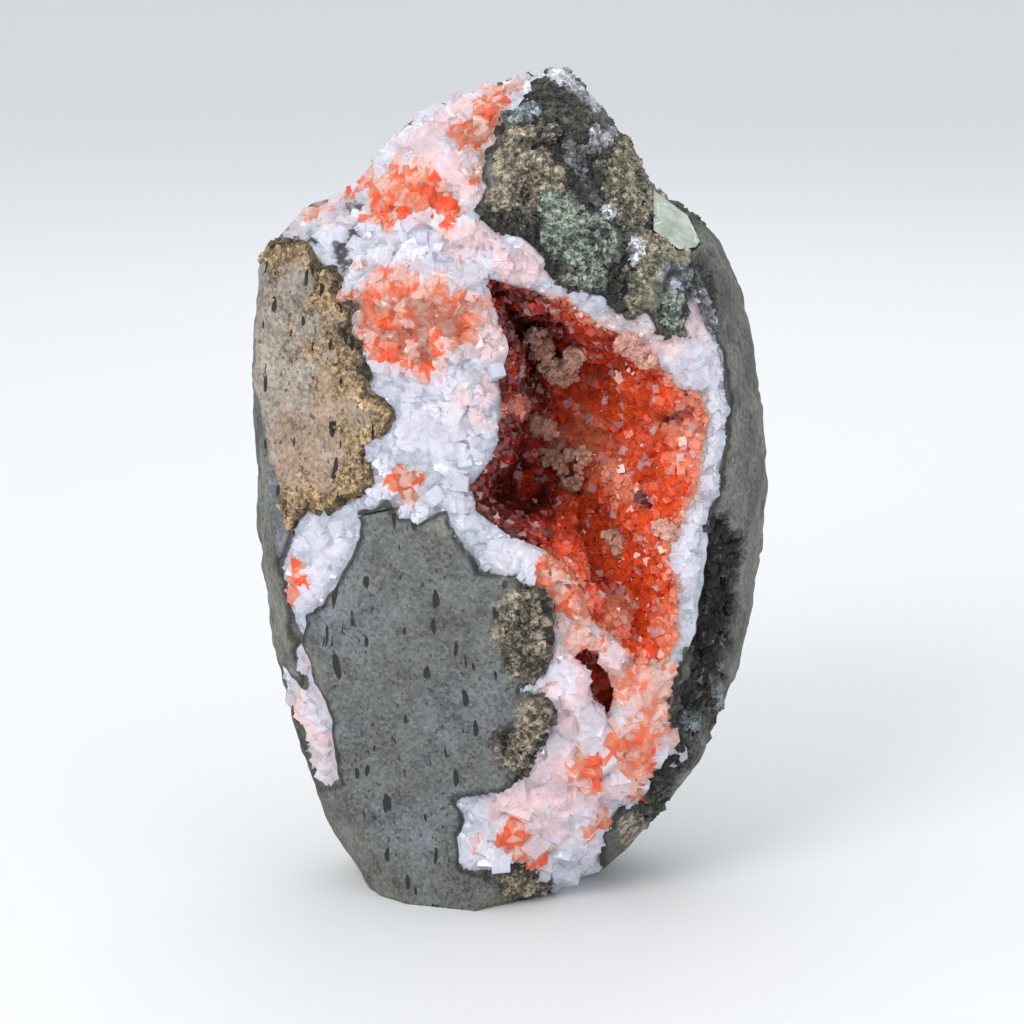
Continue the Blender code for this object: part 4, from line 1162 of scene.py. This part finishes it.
def make_white_crystals():
    """Rhombs of a power-law spread of sizes on the white layer."""
    rng = np.random.default_rng(17)
    across, up = front_of(white_grid)
    edge = window_edge(across, up, np.full(across.shape, -9.0))
    density = step_up(edge, 0.0, 1.2) * (0.45 + step_up(lumps(across, up, 0.0, 8.0, 123), -0.2, 0.6))
    density = density * step_up(white_grid[..., 2], 2.0 * MM, 4.0 * MM)
    density = density * (1.0 - white_masks["speck"]) * (1.0 - 0.4 * white_masks["red"])
    place, out, row, column = scatter(white_grid, density, WHITE_CRYSTALS, rng)
    size = (0.7 + 3.0 * rng.random(WHITE_CRYSTALS) ** 2.4) * MM
    from_lip = -inside_by(MOUTH, across, up)[row, column]
    room = np.clip(edge[row, column] / 2.5, 0.3, 1.0) * np.clip(from_lip / 2.5, 0.35, 1.0)
    low_band = step_up(-up[row, column], 34.0, 50.0)
    size = size * room * (1.0 + 0.5 * low_band) * (1.0 - 0.4 * white_masks["red"][row, column])
    points, faces = rhombs(place - out * 0.3 * size[:, None], out, size, 0.3, rng)
    masks = taken(white_masks, row, column)
    masks["facet"] = np.repeat(rng.random(WHITE_CRYSTALS), 8)
    return make_piece("white_crystals", points, [faces], white_zeolite, masks)


white_crystals = make_white_crystals()

# %% [markdown]
# The hollow's wall runs from the lip to the deepest point: sheer on the left and top, sloping on the
# right and below. The crust follows it as a closed cup, lumpy like a bunch of grapes.
# %% The crust of the hollow
HOLLOW_POLE = (11.5, 9.5)
HOLLOW_POLE_DEPTH = 10.0
HOLLOW_LUMPS = 1.2
LIP_DROP = 2.5
CRUST = 2.4
CRUST_CLEARANCE = 0.15
CRUST_COLUMNS = 560
CRUST_RINGS = 168
GRAPES = [(6.5, 2.6, 141), (2.6, 0.8, 142)]  # size, height and seed of the lumps
NODULES = [
    ((41.0, 28.5), 4.2, 2.4, "peach"), ((39.0, 33.0), 3.4, 1.6, "peach"), ((30.0, 33.8), 2.4, 1.6, "peach"),
    ((37.5, 22.0), 3.0, 1.8, "tone_and_painted_light"), ((34.6, 16.5), 3.6, 2.0, "tone_and_painted_light"), ((41.0, 4.0), 4.4, 2.2, "tone_and_painted_light"),
    ((41.0, 13.5), 3.8, 1.8, "peach"), ((26.4, 3.4), 2.8, 1.4, "peach"), ((18.8, -26.0), 3.4, 2.0, "tone_and_painted_light"),
    ((25.0, -29.0), 4.0, 1.8, "peach"), ((7.4, 15.4), 2.4, 1.6, "peach"), ((30.0, -18.0), 3.8, 1.8, "tone_and_painted_light"),
    ((24.5, -13.0), 3.0, 1.6, "tone_and_painted_light"), ((36.5, -20.0), 3.2, 1.6, "tone_and_painted_light"), ((31.0, -7.0), 3.4, 1.8, "tone_and_painted_light"),
    ((22.0, 17.0), 3.6, 1.4, "tone_and_painted_light"), ((29.0, 25.0), 3.2, 1.2, "tone_and_painted_light"), ((16.0, -3.0), 3.2, 1.6, "tone_and_painted_light"),
    ((35.5, -34.0), 3.4, 1.6, "tone_and_painted_light"), ((3.0, 2.0), 3.4, 1.6, "tone_and_painted_light"), ((1.5, 20.0), 3.0, 1.6, "peach"),
]
# a small hole painted in shadow on the lining
PAINTED_HOLE_SHADOW = ((32.4, -3.0), 2.2)
# pools of painted light on the lining
PAINTED_LIGHT_SPOTS = [
    ((40.0, 3.5), (5.5, 5.0)), ((34.5, 16.5), (5.0, 4.0)), ((37.5, 22.5), (4.0, 3.0)),
    ((24.0, -8.0), (16.0, 20.0)), ((30.0, 8.0), (14.0, 22.0)), ((33.0, -30.0), (9.0, 14.0)),
    ((17.0, 12.0), (12.0, 13.0)),
]
# the last, broad peach spot is painted light that lifts the shaded middle of the hollow
PEACH_SPOTS = [
    ((24.5, -29.0), (4.5, 5.0), 0.6), ((42.5, 14.0), (4.5, 10.0), 0.6), ((30.0, -2.0), (5.0, 4.0), 0.6),
    ((41.0, -8.0), (3.0, 6.0), 0.6), ((38.0, -33.0), (3.0, 8.0), 0.6), ((19.0, 11.0), (13.0, 13.0), 0.42),
]


def hollow_wall(angle, inward, gap):
    """The wall a gap in from the rock: lerp from lip to pole, sideways by inward^(1 + 1.8 s), deeper
    by 1 - (1 - inward)^(1.25 + 1.6 s), with s the steepness in that direction."""
    steep = np.clip(0.5 - 0.45 * np.cos(angle) + 0.15 * np.sin(angle), 0.0, 1.0)
    lip = soft_reach(MOUTH, angle, LIP_WIDTH)
    rim_x, rim_y = around(angle, lip)
    lip_x, lip_y = around(angle, lip - gap)
    lip_depth = front_depth(rim_x, rim_y, patches=False) + LIP_DROP
    sideways = inward ** (1.0 + 1.8 * steep)
    deeper = 1.0 - (1.0 - inward) ** (1.25 + 1.6 * steep)
    wall_x = rim_x + (HOLLOW_POLE[0] - rim_x) * sideways
    wall_y = rim_y + (HOLLOW_POLE[1] - rim_y) * sideways
    wall_depth = lip_depth + (HOLLOW_POLE_DEPTH - lip_depth) * deeper
    knobs = lumps(wall_x, wall_y, wall_depth, 14.0, 11) + 0.5 * lumps(wall_x, wall_y, wall_depth, 7.0, 12)
    across = lip_x + (HOLLOW_POLE[0] - lip_x) * sideways
    up = lip_y + (HOLLOW_POLE[1] - lip_y) * sideways
    depth = wall_depth - gap * (0.4 + deeper)
    return across, up, depth - HOLLOW_LUMPS * knobs * np.minimum(inward * 5.0, 1.0)


def crust_masks(across, up, inward):
    """Where the lining is painted lighter or shaded darker, and where it is peach."""
    # painted light and shade: lighter in the spots and towards the right, darker on the left and deepest in
    painted_light = all_spots(across, up, PAINTED_LIGHT_SPOTS, 131, 0.3)
    painted_left_shade = step_up(across, -6.0, 22.0)
    tone_and_painted_light = 0.02 + 0.4 * painted_left_shade + 0.55 * painted_light - 0.15 * step_up(inward, 0.6, 1.0)
    peach = all_spots(across, up, PEACH_SPOTS, 135, 0.5)
    rim = (1.0 - step_up(inward, 0.01, 0.06)) * step_up(across, 6.0, 24.0)
    peach = np.maximum(peach, rim * 0.7)
    for middle, radius, _, kind in NODULES:
        near = 1.0 - step_up(np.hypot(across - middle[0], up - middle[1]) / radius, 0.5, 1.2)
        if kind == "peach":
            peach = np.maximum(peach, 0.75 * near)
        else:
            tone_and_painted_light = tone_and_painted_light + 0.3 * near
    # painted shadow: the lining is made dark red in the hole, with no peach
    hole_shadow = 1.0 - step_up(np.hypot(across - PAINTED_HOLE_SHADOW[0][0], up - PAINTED_HOLE_SHADOW[0][1]) / PAINTED_HOLE_SHADOW[1], 0.4, 1.1)
    return {"tone_and_painted_light": tone_and_painted_light - 2.0 * hole_shadow, "peach": peach * (1.0 - hole_shadow), "clear": np.zeros_like(across)}


def crust_surface():
    """The rings of the crust from the deepest point out to the lip."""
    angle = even_angles(MOUTH, CRUST_COLUMNS)
    inward = np.linspace(0.995, 0.0, CRUST_RINGS)[:, None]
    gap = CRUST_CLEARANCE + CRUST * step_up(inward, 0.0, 0.12)
    turn = np.broadcast_to(angle, (CRUST_RINGS, CRUST_COLUMNS))
    across, up, depth = hollow_wall(turn, inward, gap)
    grid = seen(across, up, depth)
    out = grid_normals(grid)
    grape = sum(tall * np.abs(lumps(across, up, depth, size, seed)) for size, tall, seed in GRAPES)
    for middle, radius, tall, *_ in NODULES:
        away = np.hypot(across - middle[0], up - middle[1]) / radius
        grape = grape + tall * np.sqrt(np.clip(1.0 - away**2, 0.0, 1.0))
    fine = 0.25 * rough(across, up, depth, 1.2, 145, 2)
    grid = grid + out * ((grape - 0.7 + fine) * step_up(inward, 0.0, 0.08))[..., None] * MM
    masks = crust_masks(across, up, np.broadcast_to(inward, across.shape))
    return angle, grid, masks


def make_crust():
    """Closes the crust behind and makes its mesh."""
    angle, grid, masks = crust_surface()
    lip = soft_reach(MOUTH, angle, LIP_WIDTH) + 0.4
    behind = seen(*around(angle, lip), 12.0)
    rings = np.concatenate([grid, behind[None]])
    points, faces = closed_rings(rings, grid[0].mean(axis=0), seen(*CENTRE, 15.0))
    piece = make_piece("hollow_crust", points, faces, chabazite, with_poles(masks, 0, 1), smooth=True)
    return piece, grid, masks


crust, crust_grid, crust_mask_values = make_crust()

# %% [markdown]
# The lining glitters because it is set with small rhombs all over. Most take the colour of the crust, and
# about one in forty-five is clear and larger than most.
# %% Crystals in the hollow
HOLLOW_CRYSTALS = 13000
CLEAR_SHARE = 0.022


def make_hollow_crystals():
    """Rhombs on the crust, small ones everywhere and a few larger."""
    rng = np.random.default_rng(23)
    density = np.ones(crust_grid.shape[:2])
    place, out, row, column = scatter(crust_grid, density, HOLLOW_CRYSTALS, rng)
    clear = rng.random(HOLLOW_CRYSTALS) < CLEAR_SHARE
    size = (0.5 + 1.7 * rng.random(HOLLOW_CRYSTALS) ** 3.0) * MM
    size = np.where(clear, (1.1 + 1.1 * rng.random(HOLLOW_CRYSTALS)) * MM, size)
    size = size * np.clip(0.5 + (CRUST_RINGS - row) / 20.0, 0.5, 1.0)
    points, faces = rhombs(place + out * 0.1 * size[:, None], out, size, 0.5, rng)
    masks = taken(crust_mask_values, row, column)
    masks["tone_and_painted_light"] = masks["tone_and_painted_light"] + np.repeat(rng.normal(0.0, 0.14, HOLLOW_CRYSTALS), 8)
    masks["clear"] = np.repeat(clear * 0.85 + 0.07 * rng.random(HOLLOW_CRYSTALS), 8)
    return make_piece("hollow_crystals", points, [faces], chabazite, masks)


hollow_crystals = make_hollow_crystals()

# %% [markdown]
# Some things in the hollow are bigger than its crystals: a tan granular coil that hangs from the roof,
# a bird-shaped flake, and loose clusters of pale crystals. Each is a run of places on the crust, thick
# with small grains. In millimetres it has a radius, a lift off the crust and a grain size, and then a
# count of grains and how pink they are.
# %% Coil, flake and clusters
CLUSTERS = {
    "coil": (
        [(9.6, 39.5), (8.8, 35.5), (10.2, 32), (13.2, 30.2), (16, 31.4), (17.2, 34)],
        2.0, 4.5, 1.0, 620, 0.1,
    ),
    "flake": (
        [(10.2, 7.4), (13, 8.2), (15.4, 5.8), (18.6, 6.6), (16.6, 3), (15.4, 1)],
        1.4, 4.5, 0.8, 320, 0.1,
    ),
    "roof_crystals": ([(28.5, 37.5), (32, 36), (35.5, 34.5)], 2.0, 1.0, 1.5, 110, 0.9),
    "rim_cluster": ([(25, -10.5), (27.5, -14.5)], 2.2, 0.8, 1.5, 60, 0.6),
    "low_cluster": ([(36, -8.8), (39.3, -11)], 1.6, 0.8, 1.5, 50, 0.7),
    "tan_cluster": ([(5.6, 16), (9, 15)], 2.0, 2.0, 1.1, 120, 0.3),
}


def make_clusters():
    """Grains at random places along each run, in a ball of its radius round the lifted place."""
    rng = np.random.default_rng(31)
    every_point, every_face, lots = [], [], []
    for run, radius, lift, grain, count, pink in CLUSTERS.values():
        run = np.array(run, float)
        spots = rng.random(count) * (len(run) - 1)
        away = rng.normal(size=(count, 3))
        away *= (radius * rng.random((count, 1)) ** 0.4) / np.linalg.norm(away, axis=1, keepdims=True)
        along = np.stack([np.interp(spots, np.arange(len(run)), run[:, k]) for k in (0, 1)], axis=-1)
        place, out = nearest_on(crust_grid, along)
        place = place + out * lift * MM + away * MM
        size = grain * (0.6 + 0.8 * rng.random(count)) * MM
        points, faces = rhombs(place, away, size, 0.8, rng)
        every_face.append(faces + 8 * sum(len(lot) for lot in lots))
        every_point.append(points)
        lots.append(pink + 0.5 * (rng.random(count) - 0.5))
    masks = {"pink": np.clip(np.repeat(np.concatenate(lots), 8), 0.0, 1.0)}
    faces = [np.concatenate(every_face)]
    return make_piece("hollow_clusters", np.concatenate(every_point), faces, tan_crust, masks)


hollow_clusters = make_clusters()

# %% [markdown]
# Four blocks of the white layer are larger and cleaner than the crystals round them. Each is one rhomb,
# set at the place on the layer where the eye sees it.
# %% Large blocks of the white layer
LARGE_CRYSTALS = [((-17.8, -1.3), 3.8), ((-3.6, 28.4), 3.4), ((-14.5, 2.5), 2.2), ((-21.0, 60.0), 2.6)]


def make_large_crystals():
    """A few clean blocks of the white layer."""
    rng = np.random.default_rng(37)
    place, out = nearest_on(white_grid, [middle for middle, _ in LARGE_CRYSTALS])
    size = np.array([edge for _, edge in LARGE_CRYSTALS]) * MM
    place = place + out * 0.25 * size[:, None]
    points, faces = rhombs(place, out, size, 0.5, rng)
    masks = {name: np.zeros(len(points)) for name in white_masks}
    masks["facet"] = np.full(len(points), 0.05)
    return make_piece("white_blocks", points, [faces], white_zeolite, masks)


white_blocks = make_large_crystals()

# %% [markdown]
# The green crystal keeps its solid; only its material is new.
# %% The green crystal
green_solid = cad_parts["pale_green_crystal"]
green_solid.data.materials.clear()
green_solid.data.materials.append(green_crystal)

# %% [markdown]
# Each piece rides on the one body of the stone and stands for the solid whose place it takes.
# %% Tie the pieces to the model
PIECES = [
    (rock, "basalt_matrix", "basalt"),
    (rock_grains, "basalt_matrix", "basalt"),
    (white_blocks, "white_zeolite_band", "white_zeolite"),
    (hollow_clusters, "chabazite_druse", "chabazite"),
    (white, "white_zeolite_band", "white_zeolite"),
    (white_crystals, "white_zeolite_band", "white_zeolite"),
    (crust, "chabazite_druse", "chabazite"),
    (hollow_crystals, "chabazite_druse", "chabazite"),
]
for piece, solid, slot in PIECES:
    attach(piece, "root")
    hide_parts(solid)
print(len(PIECES), "pieces ride on the stone")

# %% [markdown]
# The stage is a pale floor under a soft key light from the upper left, a weak fill from the right and a
# pale world. The camera is the eye that the outlines were drawn for.
# %% Floor, light and camera
FLOOR_SIZE = 16.0
FRAME_WIDTH = 242.4  # millimetres that the picture spans at the eye's distance
SENSOR = 36.0
SHIFT = (0.002, -0.0215)
LIGHTS = [
    ("key", (-0.5, -0.9, 0.8), 0.5, 7.5, (1.0, 0.985, 0.96)),
    ("fill", (0.9, -0.8, 0.35), 0.8, 1.2, (0.93, 0.96, 1.0)),
    ("back", (0.1, 0.8, 0.9), 0.7, 2.5, (1.0, 1.0, 1.0)),
]
WORLD_STRENGTH = 0.9


def make_floor():
    """A wide pale sheet with a hardly visible mottle."""
    sheet = Finish("floor", Roughness=0.8)
    mottle = sheet.noise(sheet.place(), 3.0)
    sheet.paint(sheet.mixed(mottle, colour(236, 238, 239), colour(240, 241, 242)))
    half = FLOOR_SIZE / 2
    corners = np.array([[-half, -half, 0], [half, -half, 0], [half, half, 0], [-half, half, 0]])
    return make_piece("floor", corners, [np.array([[0, 1, 2, 3]])], sheet.material)


def make_light(name, place, size, power, tint):
    """A square area light that faces the stone."""
    data = bpy.data.lights.new(name, "AREA")
    data.size = size
    data.energy = power
    data.color = tint
    lamp = bpy.data.objects.new(name, data)
    bpy.context.scene.collection.objects.link(lamp)
    lamp.location = place
    aim = np.array([0.0, 0.0, MIDDLE_HEIGHT * MM]) - place
    tip = math.atan2(math.hypot(aim[0], aim[1]), -aim[2])
    lamp.rotation_euler = (tip, 0.0, math.atan2(-aim[0], aim[1]))


def make_camera():
    """A camera at the eye, looking down by LOOK_DOWN at the middle of the front."""
    data = bpy.data.cameras.new("camera")
    data.sensor_width = SENSOR
    data.lens = SENSOR * EYE_DISTANCE / FRAME_WIDTH
    data.shift_x, data.shift_y = SHIFT
    camera = bpy.data.objects.new("camera", data)
    bpy.context.scene.collection.objects.link(camera)
    camera.location = (
        TO_MIDDLE[0] * MM,
        (TO_MIDDLE[1] - EYE_DISTANCE * math.cos(LOOK_DOWN)) * MM,
        (MIDDLE_HEIGHT + EYE_DISTANCE * math.sin(LOOK_DOWN)) * MM,
    )
    camera.rotation_euler = (math.pi / 2 - LOOK_DOWN, 0.0, 0.0)
    bpy.context.scene.camera = camera


make_floor()
for light in LIGHTS:
    make_light(*light)
make_camera()
world = bpy.data.worlds.new("studio")
world.use_nodes = True
world.node_tree.nodes["Background"].inputs[0].default_value = colour(236, 240, 244)
world.node_tree.nodes["Background"].inputs[1].default_value = WORLD_STRENGTH
bpy.context.scene.world = world
bpy.context.scene.view_settings.view_transform = "Standard"
print("stage: a floor,", len(LIGHTS), "lights, a world and a camera")

# %% [markdown]
# Last, the scene is brought up to date.
# %% The end
bpy.context.view_layer.update()
